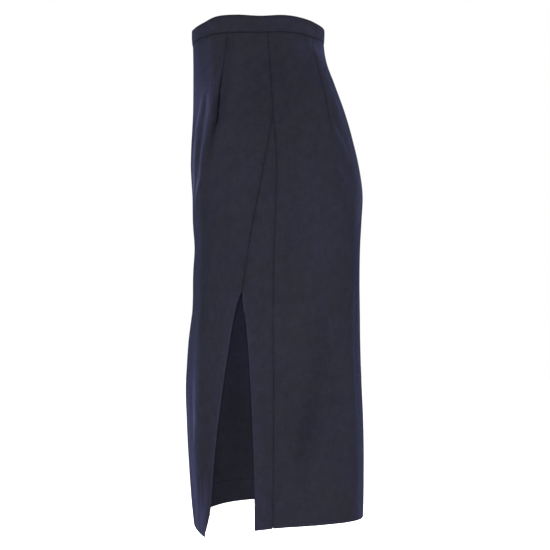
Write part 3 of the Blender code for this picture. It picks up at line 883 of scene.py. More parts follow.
def line_share(table):
    """A line given by marks, as a function from height to girth share."""
    return lambda z: share_at(z, read(table, "y", z))


side_seam = line_share(SIDE_SEAM)
slanting_seam = line_share(SLANTING_SEAM)


def front_left_edge(z):
    """The front's left edge: side seam, slanting seam, then the slit's free edge."""
    if z > FORK_Z:
        return side_seam(z)
    if z > SLIT_Z:
        return min(slanting_seam(z), side_seam(z))
    return line_share(FRONT_SLIT_EDGE)(z)


def side_panel_edge(z):
    """The narrow panel's front edge: the slanting seam, then its side of the slit."""
    if z > SLIT_Z:
        return slanting_seam(z)
    return line_share(SIDE_SLIT_EDGE)(z)


def front_dart(outer):
    """The front dart's line, which runs on below its end at the same part of the way to outer."""

    def share(z):
        if z >= FRONT_DART_END:
            return share_at(z, read(FRONT_DART, "y", z))
        end = share_at(FRONT_DART_END, read(FRONT_DART, "y", FRONT_DART_END))
        return end / outer(FRONT_DART_END) * outer(z)

    return share


def back_dart(z):
    """The back dart's line, kept at the same part of the way from side seam to centre back."""
    top = max(z, BACK_DART_END)
    part = (share_at(top, read(BACK_DART, "y", top)) - side_seam(top)) / (1 - side_seam(top))
    return side_seam(z) + part * (1 - side_seam(z))


def centre_front(z):
    """The centre front's line."""
    return 0.0


def centre_back(z):
    """The centre back's line."""
    return 1.0


def on_right(line):
    """A left line's twin on the right side."""
    return lambda z: -line(z)


def right_round_back(line):
    """A left line's twin on the right side, counted on round the back."""
    return lambda z: 2 - line(z)


def moved_line(line, metres):
    """A line shifted round the skirt."""
    return lambda z: line(z) + metres / half_girth(z)


right_seam = on_right(side_seam)
right_seam_round_back = right_round_back(side_seam)


def zip_line(z):
    """The middle of the zip: down the right side seam, and straight up through the band."""
    return right_seam(min(z, 0.0))


def band_ends(inset):
    """The lines of a waistband that starts and ends this far from the middle of the zip."""
    start = inset / half_girth(0.0) - side_seam(0.0)
    finish = 2 - inset / half_girth(0.0) - side_seam(0.0)
    return lambda z: start, lambda z: finish


def dart_shape(z, away, end):
    """How far a dart moves the cloth: a sharp groove, and its pressed fold beside it."""
    if z <= end:
        return np.zeros(len(away))
    fade = min(1.0, (1 - z / end) / DART_FADE)
    groove = -DART_DEPTH * np.clip(1 - np.abs(away) / DART_HALF, 0, 1)
    press = DART_PRESS_HEIGHT * hump((away - DART_HALF - DART_PRESS_HALF / 2) / DART_PRESS_HALF)
    return fade * (groove + press)


def no_shift(z, share):
    """The shift of a piece that lies on the form as it is."""
    nothing = np.zeros(len(share))
    return nothing, nothing, nothing


def front_shift(z, share):
    """Sideways, outward and downward move of the front at its free corner."""
    if z >= SLIT_Z:
        return no_shift(z, share)
    from_edge = (front_left_edge(z) - share) * half_girth(z)
    near = np.clip(1 - from_edge / FLARE_REACH, 0, FLARE_MOST) ** 2
    down = (SLIT_Z - z) / (SLIT_Z - HEM_Z)
    nothing = np.zeros(len(share))
    return FLARE * down**FLARE_POWER * near, nothing, CORNER_DROP * down**DROP_POWER * near


def side_shift(z, share):
    """The same for the narrow panel, whose free edge turns in."""
    if z >= SLIT_Z:
        return no_shift(z, share)
    from_edge = (share - side_panel_edge(z)) * half_girth(z)
    near = np.clip(1 - from_edge / SLIT_ROLL_REACH, 0, 1) ** 2
    down = min(1.0, (SLIT_Z - z) / SLIT_ROLL_START)
    nothing = np.zeros(len(share))
    return nothing, -SLIT_ROLL * down * near, nothing


# Each panel's hem: the lines it runs between, and its shift
HEMS = (
    (moved_line(right_seam, FOLDED / 2), moved_line(front_left_edge, -FOLDED / 2), front_shift),
    (moved_line(side_panel_edge, FOLDED / 2), moved_line(side_seam, -FOLDED / 2), side_shift),
    (moved_line(side_seam, FOLDED / 2), moved_line(right_seam_round_back, -FOLDED / 2), no_shift),
)
# The slit's free edges: the line, which way round its turning goes, and its shift
SLIT_EDGES = (
    (front_left_edge, -1, front_shift),
    (side_panel_edge, 1, side_shift),
)


def heights_between(bottom, top, step, fine=()):
    """Rows from bottom to top, with the fixed heights and the fine rows next to both ends."""
    stops = sorted({bottom, top, *(z for z in (SLIT_Z, FORK_Z) if bottom < z < top)})
    rows = []
    for below, above in zip(stops, stops[1:]):
        count = max(1, round((above - below) / step))
        rows.extend(np.linspace(below, above, count + 1))
    rows.extend(bottom + away for away in fine)
    rows.extend(top - away for away in fine)
    rows = sorted(z for z in rows if bottom <= z <= top)
    kept = [rows[0]]
    for z in rows[1:]:
        if z - kept[-1] > SAME_PLACE:
            kept.append(z)
    return kept


def columns_at(z, guides, counts, insets):
    """Girth shares of one row: close together at each guide line, even between them.

    Gives the real insets too, which shrink where the panel runs to a point.
    """
    girth = half_girth(z)
    lines = [guide(z) for guide in guides]
    width = lines[-1] - lines[0]
    left, right = (min(inset / girth, width / 4) for inset in insets)
    lines[0] += SEAM_GAP / 2 / girth + left
    lines[-1] -= SEAM_GAP / 2 / girth + right
    insets = left * girth, right * girth
    shares = []
    for left, right, count in zip(lines, lines[1:], counts):
        shrink = min(1.0, (right - left) * girth / (4 * NEAR_LINES[-1]))
        near = np.array(NEAR_LINES) * shrink / girth
        middle = np.linspace(left + near[-1], right - near[-1], count + 1)[1:-1]
        shares.extend([left, *(left + near), *middle, *(right - near[::-1])])
    return np.array([*shares, lines[-1]]), insets


def column_counts(guides, heights):
    """How many even columns each stretch between two guides gets."""
    looked_at = heights[:: max(1, len(heights) // COUNT_ROWS)]
    counts = []
    for before, after in zip(guides, guides[1:]):
        widest = max((after(z) - before(z)) * half_girth(z) for z in looked_at)
        counts.append(max(2, round((widest - 2 * NEAR_LINES[-1]) / COLUMN)))
    return counts


def unit(vectors):
    """The same directions, one long."""
    return vectors / np.maximum(np.linalg.norm(vectors, axis=-1, keepdims=True), TINY)


def edge_loop(rows, columns):
    """(row, column) of each point round a net, in order, with the way out of the net there."""
    bottom = [(0, c, 0, -1) for c in range(columns)]
    right = [(r, columns - 1, 1, 0) for r in range(rows)]
    top = [(rows - 1, c, 0, 1) for c in range(columns - 1, -1, -1)]
    left = [(r, 0, -1, 0) for r in range(rows - 1, -1, -1)]
    loop = {}
    for r, c, across, up in bottom + right + top + left:
        before = loop.get((r, c), (0, 0))
        loop[(r, c)] = (before[0] + across, before[1] + up)
    return [(r, c, *way) for (r, c), way in loop.items()]


def shell(name, face, cloth_uv, wall, material, reach=None, painted_light_strength=0.0, rim_painted_shade=0.0):
    """A closed sheet: a net of face points, a wall inwards of it and a round rim.

    face is rows by columns by 3, bottom row first. The rest are numbers or one for each
    point. reach is the rim's way out in the net's own plane. The next gives painted light: a
    painted highlight on the nap, or painted shade under 0. The last gives painted shade on the
    rim where a seam closes on it. The inner side gets painted light and shade by its height.
    """
    face, cloth_uv = np.array(face), np.array(cloth_uv)
    rows, columns = face.shape[:2]
    wall, painted_light_strength, rim_painted_shade = (np.broadcast_to(given, (rows, columns)) for given in (wall, painted_light_strength, rim_painted_shade))
    reach = wall / 2 if reach is None else np.broadcast_to(reach, (rows, columns))
    along = unit(np.gradient(face, axis=1))
    up = unit(np.gradient(face, axis=0))
    normal = unit(np.cross(along, up))
    inner = face - normal * wall[..., None]
    points = [face.reshape(-1, 3), inner.reshape(-1, 3)]
    uvs = [cloth_uv.reshape(-1, 2)] * 2
    painted_light_strengths = [painted_light_strength.ravel(), read(INSIDE_PAINTED_LIGHT, "strength", inner[..., 2].ravel())]
    number = np.arange(rows * columns).reshape(rows, columns)
    corners = [number[:-1, :-1], number[:-1, 1:], number[1:, 1:], number[1:, :-1]]
    outer = np.stack(corners, -1).reshape(-1, 4)
    faces = [*outer.tolist(), *(outer[:, ::-1] + rows * columns).tolist()]

    loop = edge_loop(rows, columns)
    at = np.array([(r, c) for r, c, _, _ in loop])
    r, c = at[:, 0], at[:, 1]
    ways = np.array([(across, upward) for _, _, across, upward in loop], float)
    out = unit(along[r, c] * ways[:, :1] + up[r, c] * ways[:, 1:])
    half = wall[r, c][:, None] / 2
    rings = [number[r, c]]
    for step in range(1, RIM_STEPS):
        part = step / RIM_STEPS
        away = reach[r, c][:, None] * np.sin(pi * part)
        rings.append(sum(len(block) for block in points) + np.arange(len(loop)))
        points.append(face[r, c] - normal[r, c] * half * (1 - np.cos(pi * part)) + out * away)
        uvs.append(cloth_uv[r, c] + ways * away)
        # painted light fades over the rim, and the rim's painted seam shade takes over
        painted_light_strengths.append(painted_light_strength[r, c] * (1 - part) - rim_painted_shade[r, c] * min(1.0, 2 * part))
    rings.append(number[r, c] + rows * columns)
    for before, after in zip(rings, rings[1:]):
        strip = np.stack([before, after, np.roll(after, -1), np.roll(before, -1)], -1)
        faces.extend(strip.tolist())
    points, uvs, painted_light_strengths = (np.concatenate(blocks) for blocks in (points, uvs, painted_light_strengths))
    return cloth_object(name, points, faces, uvs, painted_light_strengths, material)


def placed(name, data):
    """A new object in the scene."""
    thing = bpy.data.objects.new(name, data)
    bpy.context.scene.collection.objects.link(thing)
    return thing


def cloth_object(name, points, faces, uvs, painted_light_strength, material):
    """A smooth mesh object with the cloth's own map in metres and its painted light and shade."""
    mesh = bpy.data.meshes.new(name)
    mesh.from_pydata(points.tolist(), [], faces)
    layer = mesh.uv_layers.new(name="cloth")
    corner = np.zeros(len(mesh.loops), int)
    mesh.loops.foreach_get("vertex_index", corner)
    layer.data.foreach_set("uv", uvs[corner].astype(np.float32).ravel())
    painted_light_layer = mesh.attributes.new("painted_light_strength", "FLOAT", "POINT")
    painted_light_layer.data.foreach_set("value", painted_light_strength.astype(np.float32))
    mesh.shade_smooth()
    mesh.materials.append(material)
    mesh.validate()
    return placed(name, mesh)


def joined(name, things):
    """Several finished meshes as one piece."""
    bpy.ops.object.select_all(action="DESELECT")
    for thing in things:
        thing.select_set(True)
    bpy.context.view_layer.objects.active = things[0]
    bpy.ops.object.join()
    things[0].name = name
    things[0].data.name = name
    return things[0]


def side_rim(z):
    """The rim's reach along a plain side seam."""
    return SIDE_RIM


def slanting_rim(z):
    """The rim's reach along the side seam, then the slanting seam and the slit."""
    part = np.clip((FORK_Z - z) / RIM_CHANGE, 0, 1)
    return SIDE_RIM + (SLANTING_RIM - SIDE_RIM) * part


def seam_shade(edge, z):
    """Painted shade on a side edge's rim: only in the groove of the slanting seam."""
    return SLANTING_GROOVE_PAINTED_SHADE if edge is slanting_rim and SLIT_Z < z <= FORK_Z else 0.0


def painted_light_beside_edge(edge, z, away):
    """Painted light beside a side edge: painted shade along a seam, painted highlight along the
    slit.
    """
    if edge is slanting_rim and z < SLIT_Z:
        wide = SLIT_PAINTED_SHEEN * np.clip(2 - 2 * away / SLIT_PAINTED_SHEEN_WIDTH, 0, 1)
        return wide + EDGE_PAINTED_HIGHLIGHT * hump(away / EDGE_PAINTED_HIGHLIGHT_WIDTH)
    return -SEAM_SHADE * hump(away / SEAM_SHADE_WIDTH)


def panel(name, guides, darts, rims, shift, material, top=0.0):
    """A panel of the skirt between its first and last guide line, with pressed edges.

    darts gives, by a guide line's number, the end and the shades of the dart on it. rims
    gives the reach of the left and right rims as functions of the height.
    """
    rim = FOLDED / 2
    heights = heights_between(HEM_Z + rim, top - SEAM_GAP / 2 - rim, ROW, NEAR_LINES)
    counts = column_counts(guides, heights)
    face, uvs, walls, reaches, painted_light_strength, rim_painted_shade = [], [], [], [], [], []
    for z in heights:
        shares, insets = columns_at(z, guides, counts, [edge(z) for edge in rims])
        girth = half_girth(z)
        out = np.zeros(len(shares))
        # groove gathers the painted shade in the darts' grooves
        groove = np.zeros(len(shares))
        for number, (end, shades) in darts.items():
            away = (shares - guides[number](z)) * girth
            out += dart_shape(z, away, end)
            groove += read(shades, "dark", z) * hump(away / read(shades, "half_width", z))
        face.append(cloth_row(z, shares, shift, out))
        uvs.append(cloth_map(z, shares))
        from_left, from_right = (shares - shares[0]) * girth, (shares[-1] - shares) * girth
        from_end = min(z - heights[0], heights[-1] - z)
        from_edge = np.minimum(np.minimum(from_left, from_right), from_end)
        pressed = np.clip(2 - from_edge / PRESSED * 2, 0, 1)
        walls.append(CLOTH + (FOLDED - CLOTH) * pressed)
        reach = np.full(len(shares), rim)
        reach[0], reach[-1] = insets
        reaches.append(reach)
        # painted light on the face: streaks, a painted highlight along the hem edge, painted
        # shade under the waist seam and in the darts, and painted light beside the side edges
        row_painted_light = rubbed(z, shares) + EDGE_PAINTED_HIGHLIGHT * hump((z - heights[0]) / EDGE_PAINTED_HIGHLIGHT_WIDTH)
        row_painted_light -= SEAM_SHADE * hump((heights[-1] - z) / SEAM_SHADE_WIDTH) + groove
        for edge, away in zip(rims, (from_left, from_right)):
            row_painted_light += painted_light_beside_edge(edge, z, away)
        painted_light_strength.append(row_painted_light)
        # painted shade on the rim at the waist seam and in the slanting seam's groove
        closed = np.full(len(shares), WAIST_GROOVE_PAINTED_SHADE if z > top - ROW else 0.0)
        closed[0], closed[-1] = (seam_shade(edge, z) for edge in rims)
        rim_painted_shade.append(closed)
    return shell(name, face, uvs, walls, material, reaches, painted_light_strength, rim_painted_shade)


def waistband(material):
    """The doubled band: one strip round the waist with pressed edges, open at the zip."""
    rim = BAND_WALL / 2
    ends = band_ends(BAND_END)
    heights = heights_between(SEAM_GAP + rim, BAND_HEIGHT - rim, ROW / 2)
    counts = column_counts(ends, [0.0])
    face, uvs, painted_light_strength, rim_painted_shade = [], [], [], []
    for z in heights:
        shares, _ = columns_at(z, ends, counts, [rim - SEAM_GAP / 2] * 2)
        crown = BAND_CROWN * (1 - (2 * z / BAND_HEIGHT - 1) ** 2)
        face.append(form_row(z, shares, BAND_PROUD + crown))
        uvs.append(np.stack([np.full(len(shares), z), shares * half_girth(0.0)], 1))
        # painted shade along the waist seam and under the top edge, with painted light from the
        # streaks, and painted shade on both rims
        shade = SEAM_SHADE * hump((z - heights[0]) / SEAM_SHADE_WIDTH)
        shade += BAND_TOP_SHADE * hump((heights[-1] - z) / SEAM_SHADE_WIDTH)
        painted_light_strength.append(rubbed(z, shares) - shade)
        rim_painted_shade.append(np.full(len(shares), WAIST_GROOVE_PAINTED_SHADE if z < BAND_HEIGHT / 2 else BAND_TOP_RIM_PAINTED_SHADE))
    return shell("waistband_cloth", face, uvs, BAND_WALL, material, painted_light_strength=painted_light_strength, rim_painted_shade=rim_painted_shade)


def inner_strip(name, rows, layer, shift, material, rim_painted_shade=0.0):
    """A strip inside the skirt, from heights and the girth shares at each.

    layer is how far its face lies under that of the cloth, and its wall.
    """
    depth, wall = layer
    face = [cloth_row(z, shares, shift, -depth) for z, shares in rows]
    uvs = [cloth_map(z, shares) for z, shares in rows]
    return shell(name, face, uvs, wall, material, rim_painted_shade=rim_painted_shade)


def lengthways(name, middle, half_width, bottom, top, layer, shift, material):
    """A narrow strip down the skirt, such as a pair of seam turnings pressed open."""
    across = np.linspace(-half_width, half_width, TURNING_COLUMNS + 1)
    heights = heights_between(bottom, top, TURNING_STEP)
    rows = [(z, middle(z) + across / half_girth(z)) for z in heights]
    return inner_strip(name, rows, layer, shift, material)


def girdle(name, start, finish, bottom, top, layer, shift, material, step=TURNING_STEP):
    """A strip that runs round the skirt between two lines, such as a hem's turning."""
    heights = np.linspace(bottom, top, max(3, round((top - bottom) / step) + 1))
    count = round((finish(bottom) - start(bottom)) * half_girth(bottom) / COLUMN)
    rows = [(z, np.linspace(start(z), finish(z), count + 1)) for z in heights]
    # the turning's rim gets painted light against its shade
    return inner_strip(name, rows, layer, shift, material, -TURNING_RIM_PAINTED_LIGHT)


def band_facing(material):
    """The band's inner layer, whose lower edge covers the waist seam on the inside."""
    ends = band_ends(BAND_END + TAPE_HALF)
    layer = FACING_DEPTH, TURNING
    span = FACING_LOW, FACING_TOP
    return girdle("band_facing", *ends, *span, layer, no_shift, material, ROW / 2)


def turnings(material):
    """All that is turned in and pressed on the inside, panel by panel."""
    layer = TURNING_DEPTH, TURNING
    low = HEM_Z + EDGE_BACK
    panels = {"front": [], "side": [], "back": []}
    for (name, pieces), (*ends, shift) in zip(panels.items(), HEMS):
        pieces.append(girdle(name + "_hem", *ends, low, HEM_TOP, layer, shift, material))
    for (name, pieces), (edge, inwards, shift) in zip(panels.items(), SLIT_EDGES):
        middle = moved_line(edge, inwards * (EDGE_BACK + SLIT_TURNING / 2))
        span = HEM_TOP, SLIT_Z - EDGE_BACK
        pieces.append(
            lengthways(name + "_slit", middle, SLIT_TURNING / 2, *span, layer, shift, material)
        )
    for name, seam, *span in (
        ("side", slanting_seam, SLIT_Z, SLANTING_TOP),
        ("back", side_seam, low, -EDGE_BACK),
        ("back", right_seam, low, TAPE_BOTTOM),
    ):
        panels[name].append(
            lengthways(name + "_seam", seam, TURNING_HALF, *span, layer, no_shift, material)
        )
    return [joined(name + "_turnings", pieces) for name, pieces in panels.items()]


def zip_tapes(material):
    """The pair of tapes behind the right side seam, closed."""
    layer = TAPE_DEPTH, TAPE_WALL
    span = TAPE_BOTTOM, TAPE_TOP
    return lengthways("zip_tapes", zip_line, TAPE_HALF, *span, layer, no_shift, material)


def path_inside(name, line, bottom, top, depth, shift, upwards=True):
    """A path up the cloth's inner side, or down it, which turns a stitch to its other side."""
    heights = np.linspace(bottom, top, max(2, round((top - bottom) / STEP_DOWN)))
    rows = [(z, np.array([line(z)])) for z in heights]
    return path_object(name, rows if upwards else rows[::-1], depth, shift)


def path_round(name, start, finish, z, depth, shift):
    """A path round the skirt at one height, on its inner side."""
    count = max(2, round((finish(z) - start(z)) * half_girth(z) / STEP_ROUND))
    return path_object(name, [(z, np.linspace(start(z), finish(z), count))], depth, shift)


def path_object(name, rows, depth, shift):
    """A line through heights and their girth shares, with the way inwards at each point."""
    points, deeper = (
        np.concatenate([cloth_row(z, shares, shift, -down) for z, shares in rows])
        for down in (depth, depth + NORMAL_REACH)
    )
    mesh = bpy.data.meshes.new(name)
    mesh.from_pydata(points.tolist(), [(i, i + 1) for i in range(len(points) - 1)], [])
    facing = mesh.attributes.new("inwards", "FLOAT_VECTOR", "POINT")
    facing.data.foreach_set("vector", unit(deeper - points).astype(np.float32).ravel())
    return placed(name, mesh)


def thread_shape(name, line, radius, sides):
    """A short round thread along a line of points: the shape that a stitch repeats."""
    net = bmesh.new()
    rings = []
    line = np.array(line, float)
    for point, ahead in zip(line, unit(np.gradient(line, axis=0))):
        across = unit(np.cross(ahead, ASKEW))
        over = np.cross(across, ahead)
        turn = [2 * pi * side / sides for side in range(sides)]
        ring = [point + radius * (np.cos(a) * across + np.sin(a) * over) for a in turn]
        rings.append([net.verts.new(place) for place in ring])
    for before, after in zip(rings, rings[1:]):
        for i in range(sides):
            j = (i + 1) % sides
            net.faces.new((before[i], before[j], after[j], after[i]))
    net.faces.new(rings[0][::-1])
    net.faces.new(rings[-1])
    bmesh.ops.recalc_face_normals(net, faces=net.faces)
    mesh = bpy.data.meshes.new(name)
    net.to_mesh(mesh)
    net.free()
    mesh.shade_smooth()
    return placed(name, mesh)


def named_sockets(group, inputs, outputs):
    """Give a node group its inputs, as name, kind and value, and its outputs."""
    for title, kind, value in inputs:
        socket = group.interface.new_socket(name=title, in_out="INPUT", socket_type=kind)
        if value is not None:
            socket.default_value = value
    for title, kind in outputs:
        group.interface.new_socket(name=title, in_out="OUTPUT", socket_type=kind)


def fill(tree, node, values):
    """Set a node's inputs by name or place: sockets are linked and other values are set."""
    for title, value in values.items():
        if isinstance(value, bpy.types.NodeSocket):
            tree.links.new(value, node.inputs[title])
        else:
            node.inputs[title].default_value = value
    return node


def maths(tree, operation, *values):
    """A Math node whose inputs are numbers or sockets; gives its output."""
    node = tree.nodes.new("ShaderNodeMath")
    node.operation = operation
    return fill(tree, node, dict(enumerate(values))).outputs[0]


def repeat_tree():
    """Geometry nodes that set one shape at even steps along paths, lying on the cloth.

    The shape's X runs along the path and its Z points inwards. Gives the tree, and the
    identifiers of its inputs by their names.
    """
    tree = bpy.data.node_groups.new("repeat_along_path", "GeometryNodeTree")
    tree.is_modifier = True
    named_sockets(
        tree,
        [
            ("Geometry", "NodeSocketGeometry", None),
            ("Shape", "NodeSocketObject", None),
            ("Pitch", "NodeSocketFloat", OVERLOCK_PITCH),
            ("Unevenness", "NodeSocketFloat", OVERLOCK_UNEVEN),
            ("Seed", "NodeSocketInt", STITCH_SEED),
            ("Finish", "NodeSocketMaterial", None),
        ],
        [("Geometry", "NodeSocketGeometry")],
    )
    new = tree.nodes.new
    given = new("NodeGroupInput").outputs
    curve = fill(tree, new("GeometryNodeMeshToCurve"), {"Mesh": given["Geometry"]})
    evenly = new("GeometryNodeResampleCurve")
    evenly.mode = "LENGTH"
    fill(tree, evenly, {"Curve": curve.outputs["Curve"], "Length": given["Pitch"]})
    tangent = new("GeometryNodeInputTangent").outputs["Tangent"]
    inwards = new("GeometryNodeInputNamedAttribute")
    inwards.data_type = "FLOAT_VECTOR"
    inwards.inputs["Name"].default_value = "inwards"
    axes = new("FunctionNodeAxesToRotation")
    axes.primary_axis, axes.secondary_axis = "X", "Z"
    fill(tree, axes, {"Primary Axis": tangent, "Secondary Axis": inwards.outputs["Attribute"]})
    size = new("FunctionNodeRandomValue")
    size.data_type = "FLOAT"
    least, most = (maths(tree, way, 1.0, given["Unevenness"]) for way in ("SUBTRACT", "ADD"))
    for title, limit in (("Min", least), ("Max", most)):
        numbers = (socket for socket in size.inputs if socket.type == "VALUE")
        tree.links.new(limit, next(socket for socket in numbers if socket.name == title))
    fill(tree, size, {"Seed": given["Seed"]})
    shape = fill(tree, new("GeometryNodeObjectInfo"), {"Object": given["Shape"]})
    place = fill(
        tree,
        new("GeometryNodeInstanceOnPoints"),
        {
            "Points": evenly.outputs["Curve"],
            "Instance": shape.outputs["Geometry"],
            "Rotation": axes.outputs["Rotation"],
            "Scale": next(socket for socket in size.outputs if socket.type == "VALUE"),
        },
    )
    real = new("GeometryNodeRealizeInstances")
    fill(tree, real, {"Geometry": place.outputs["Instances"]})
    finish = new("GeometryNodeSetMaterial")
    fill(tree, finish, {"Geometry": real.outputs["Geometry"], "Material": given["Finish"]})
    fill(tree, new("NodeGroupOutput"), {"Geometry": finish.outputs["Geometry"]})
    inputs = [item for item in tree.interface.items_tree if item.in_out == "INPUT"]
    return tree, {item.name: item.identifier for item in inputs}


def finished_mesh(name, thing):
    """The plain mesh that an object's modifiers make."""
    graph = bpy.context.evaluated_depsgraph_get()
    mesh = bpy.data.meshes.new_from_object(thing.evaluated_get(graph))
    mesh.name = name
    return mesh


def repeated(name, paths, shape, pitch, unevenness, material, repeat):
    """A plain mesh of one shape repeated along paths, which are used up with the shape."""
    tree, sockets = repeat
    carrier = joined(name + "_paths", paths)
    steps = carrier.modifiers.new("steps", "NODES")
    steps.node_group = tree
    steps[sockets["Shape"]] = shape
    steps[sockets["Pitch"]] = pitch
    steps[sockets["Unevenness"]] = unevenness
    steps[sockets["Finish"]] = material
    thing = placed(name, finished_mesh(name, carrier))
    for used in (carrier, shape):
        bpy.data.objects.remove(used, do_unlink=True)
    return thing


def stitches(thread, repeat):
    """Overlocked edges of the turnings and the blind stitches that hold the hem."""
    lines = []
    for seam, *span in (
        (side_seam, HEM_TOP, -EDGE_BACK),
        (slanting_seam, SLIT_Z, SLANTING_TOP),
        (right_seam, HEM_TOP, TAPE_BOTTOM),
    ):
        for way in (-1, 1):
            line = moved_line(seam, way * TURNING_HALF)
            lines.append(path_inside("seam_edge", line, *span, STITCH_DEPTH, no_shift, way > 0))
    for edge, way, shift in SLIT_EDGES:
        line = moved_line(edge, way * (EDGE_BACK + SLIT_TURNING))
        span = HEM_TOP, SLIT_Z - EDGE_BACK
        lines.append(path_inside("slit_edge", line, *span, STITCH_DEPTH, shift, way > 0))
    hem = [path_round("hem_edge", *ends, HEM_TOP, STITCH_DEPTH, shift) for *ends, shift in HEMS]
    half = OVERLOCK_PITCH / 2
    zigzag = [
        (-half, 0, THREAD),
        (0, OVERLOCK_WIDTH, OVERLOCK_RISE * THREAD),
        (half, 0, THREAD),
        (half, -THREAD, 0),
    ]
    shape = thread_shape("overlock_stitch", zigzag, THREAD, THREAD_SIDES)
    overlocking = repeated(
        "overlocking", lines + hem, shape, OVERLOCK_PITCH, OVERLOCK_UNEVEN, thread, repeat
    )
    tack = [(-TACK_HALF, -TACK_DOWN, 0), (0, TACK_UP, THREAD), (TACK_HALF, -TACK_DOWN, 0)]
    shape = thread_shape("hem_stitch", tack, THREAD, THREAD_SIDES)
    hem = [path_round("hem_tacks", *ends, HEM_TOP, STITCH_DEPTH, shift) for *ends, shift in HEMS]
    tacks = repeated("hem_stitches", hem, shape, HEM_STITCH_PITCH, TACK_UNEVEN, thread, repeat)
    return overlocking, tacks


def zip_coil(material, repeat):
    """The closed coil down the middle of the tapes."""
    depth = TAPE_DEPTH + TAPE_WALL
    path = path_inside("coil", zip_line, COIL_BOTTOM, COIL_TOP, depth, no_shift)
    quarter, back = COIL_PITCH / 4, COIL_BACK_HALF * COIL_HALF
    turn = [
        (-quarter, -COIL_HALF, COIL_WIRE),
        (0, -back, COIL_BACK * COIL_WIRE),
        (0, back, COIL_BACK * COIL_WIRE),
        (quarter, COIL_HALF, COIL_WIRE),
    ]
    shape = thread_shape("coil_turn", turn, COIL_WIRE, COIL_SIDES)
    return repeated("zip_coil", [path], shape, COIL_PITCH, 0.0, material, repeat)


def bevelled_copy(name, node, width, material):
    """A CAD node's shape as a piece of its own, with its sharp edges broken."""
    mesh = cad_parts[node].data.copy()
    net = bmesh.new()
    net.from_mesh(mesh)
    bmesh.ops.remove_doubles(net, verts=net.verts, dist=WELD)
    flat = radians(FLAT_ANGLE)
    bmesh.ops.dissolve_limit(net, angle_limit=flat, verts=net.verts, edges=net.edges)
    net.to_mesh(mesh)
    net.free()
    mesh.name = name
    mesh.materials.clear()
    mesh.materials.append(material)
    thing = placed(name, mesh)
    edge = thing.modifiers.new("edges", "BEVEL")
    edge.width = width
    edge.segments = BEVEL_STEPS
    edge.limit_method = "ANGLE"
    edge.angle_limit = radians(BEVEL_ANGLE)
    finished = finished_mesh(name, thing)
    thing.modifiers.clear()
    thing.data = finished
    return thing


def shader_group(name, inputs, outputs):
    """An empty group of shader nodes with named sockets: the group, its input and output."""
    group = bpy.data.node_groups.new(name, "ShaderNodeTree")
    named_sockets(group, inputs, outputs)
    return group, group.nodes.new("NodeGroupInput").outputs, group.nodes.new("NodeGroupOutput")


def vector_maths(tree, operation, first, second):
    """A Vector Math node for two vectors, or a vector and its scale; gives its output."""
    node = tree.nodes.new("ShaderNodeVectorMath")
    node.operation = operation
    fill(tree, node, {0: first, "Scale" if operation == "SCALE" else 1: second})
    return node.outputs["Vector"]


def mixed(tree, factor, first, second):
    """A mix of two colours; gives its output."""
    node = tree.nodes.new("ShaderNodeMix")
    node.data_type = "RGBA"
    fill(tree, node, {"Factor": factor, "A": first, "B": second})
    return node.outputs["Result"]


def bumped(tree, height, depth):
    """A Bump node; gives its normal."""
    node = fill(tree, tree.nodes.new("ShaderNodeBump"), {"Height": height, "Distance": depth})
    return node.outputs["Normal"]


def noise_at(tree, place, scale, detail=2.0, roughness=0.5):
    """A noise texture read at a place; gives its value."""
    node = tree.nodes.new("ShaderNodeTexNoise")
    values = {"Vector": place, "Scale": scale, "Detail": detail, "Roughness": roughness}
    return fill(tree, node, values).outputs["Fac"]


def twill_weave():
    """Slanting ribs with the yarns' own nubs: a height, and a mask of the ribs' tops."""
    group, given, result = shader_group(
        "twill_weave",
        [
            ("Place", "NodeSocketVector", None),
            ("Pitch", "NodeSocketFloat", WOOL.pitch),
            ("Lean", "NodeSocketFloat", WOOL.lean),
            ("Unevenness", "NodeSocketFloat", TWILL_UNEVEN),
        ],
        [("Height", "NodeSocketFloat"), ("Rib", "NodeSocketFloat")],
    )
    calc = partial(maths, group)
    split = fill(group, group.nodes.new("ShaderNodeSeparateXYZ"), {0: given["Place"]})
    u, v = split.outputs[0], split.outputs[1]
    drift = calc("MULTIPLY", noise_at(group, given["Place"], TWILL_DRIFT), given["Unevenness"])
    slant = calc("ADD", u, calc("MULTIPLY", v, given["Lean"]))
    turns = calc("ADD", calc("DIVIDE", slant, given["Pitch"]), drift)
    rib = calc("SINE", calc("MULTIPLY", turns, 2 * pi))
    cross = calc("SUBTRACT", v, calc("MULTIPLY", u, NUB_SLOPE))
    turns = calc("DIVIDE", cross, calc("MULTIPLY", given["Pitch"], NUB_PITCH))
    nub = calc("SINE", calc("MULTIPLY", calc("ADD", turns, drift), 2 * pi))
    rib, nub = (calc("MULTIPLY_ADD", wave, 0.5, 0.5) for wave in (rib, nub))
    fuzz = noise_at(group, given["Place"], FUZZ_PLACES, FUZZ_DETAIL)
    height = calc("MULTIPLY_ADD", nub, NUB_HEIGHT, calc("MULTIPLY", rib, RIB_HEIGHT))
    height = calc("MULTIPLY_ADD", fuzz, FUZZ_HEIGHT, height)
    fill(group, result, {"Height": height, "Rib": rib})
    return group


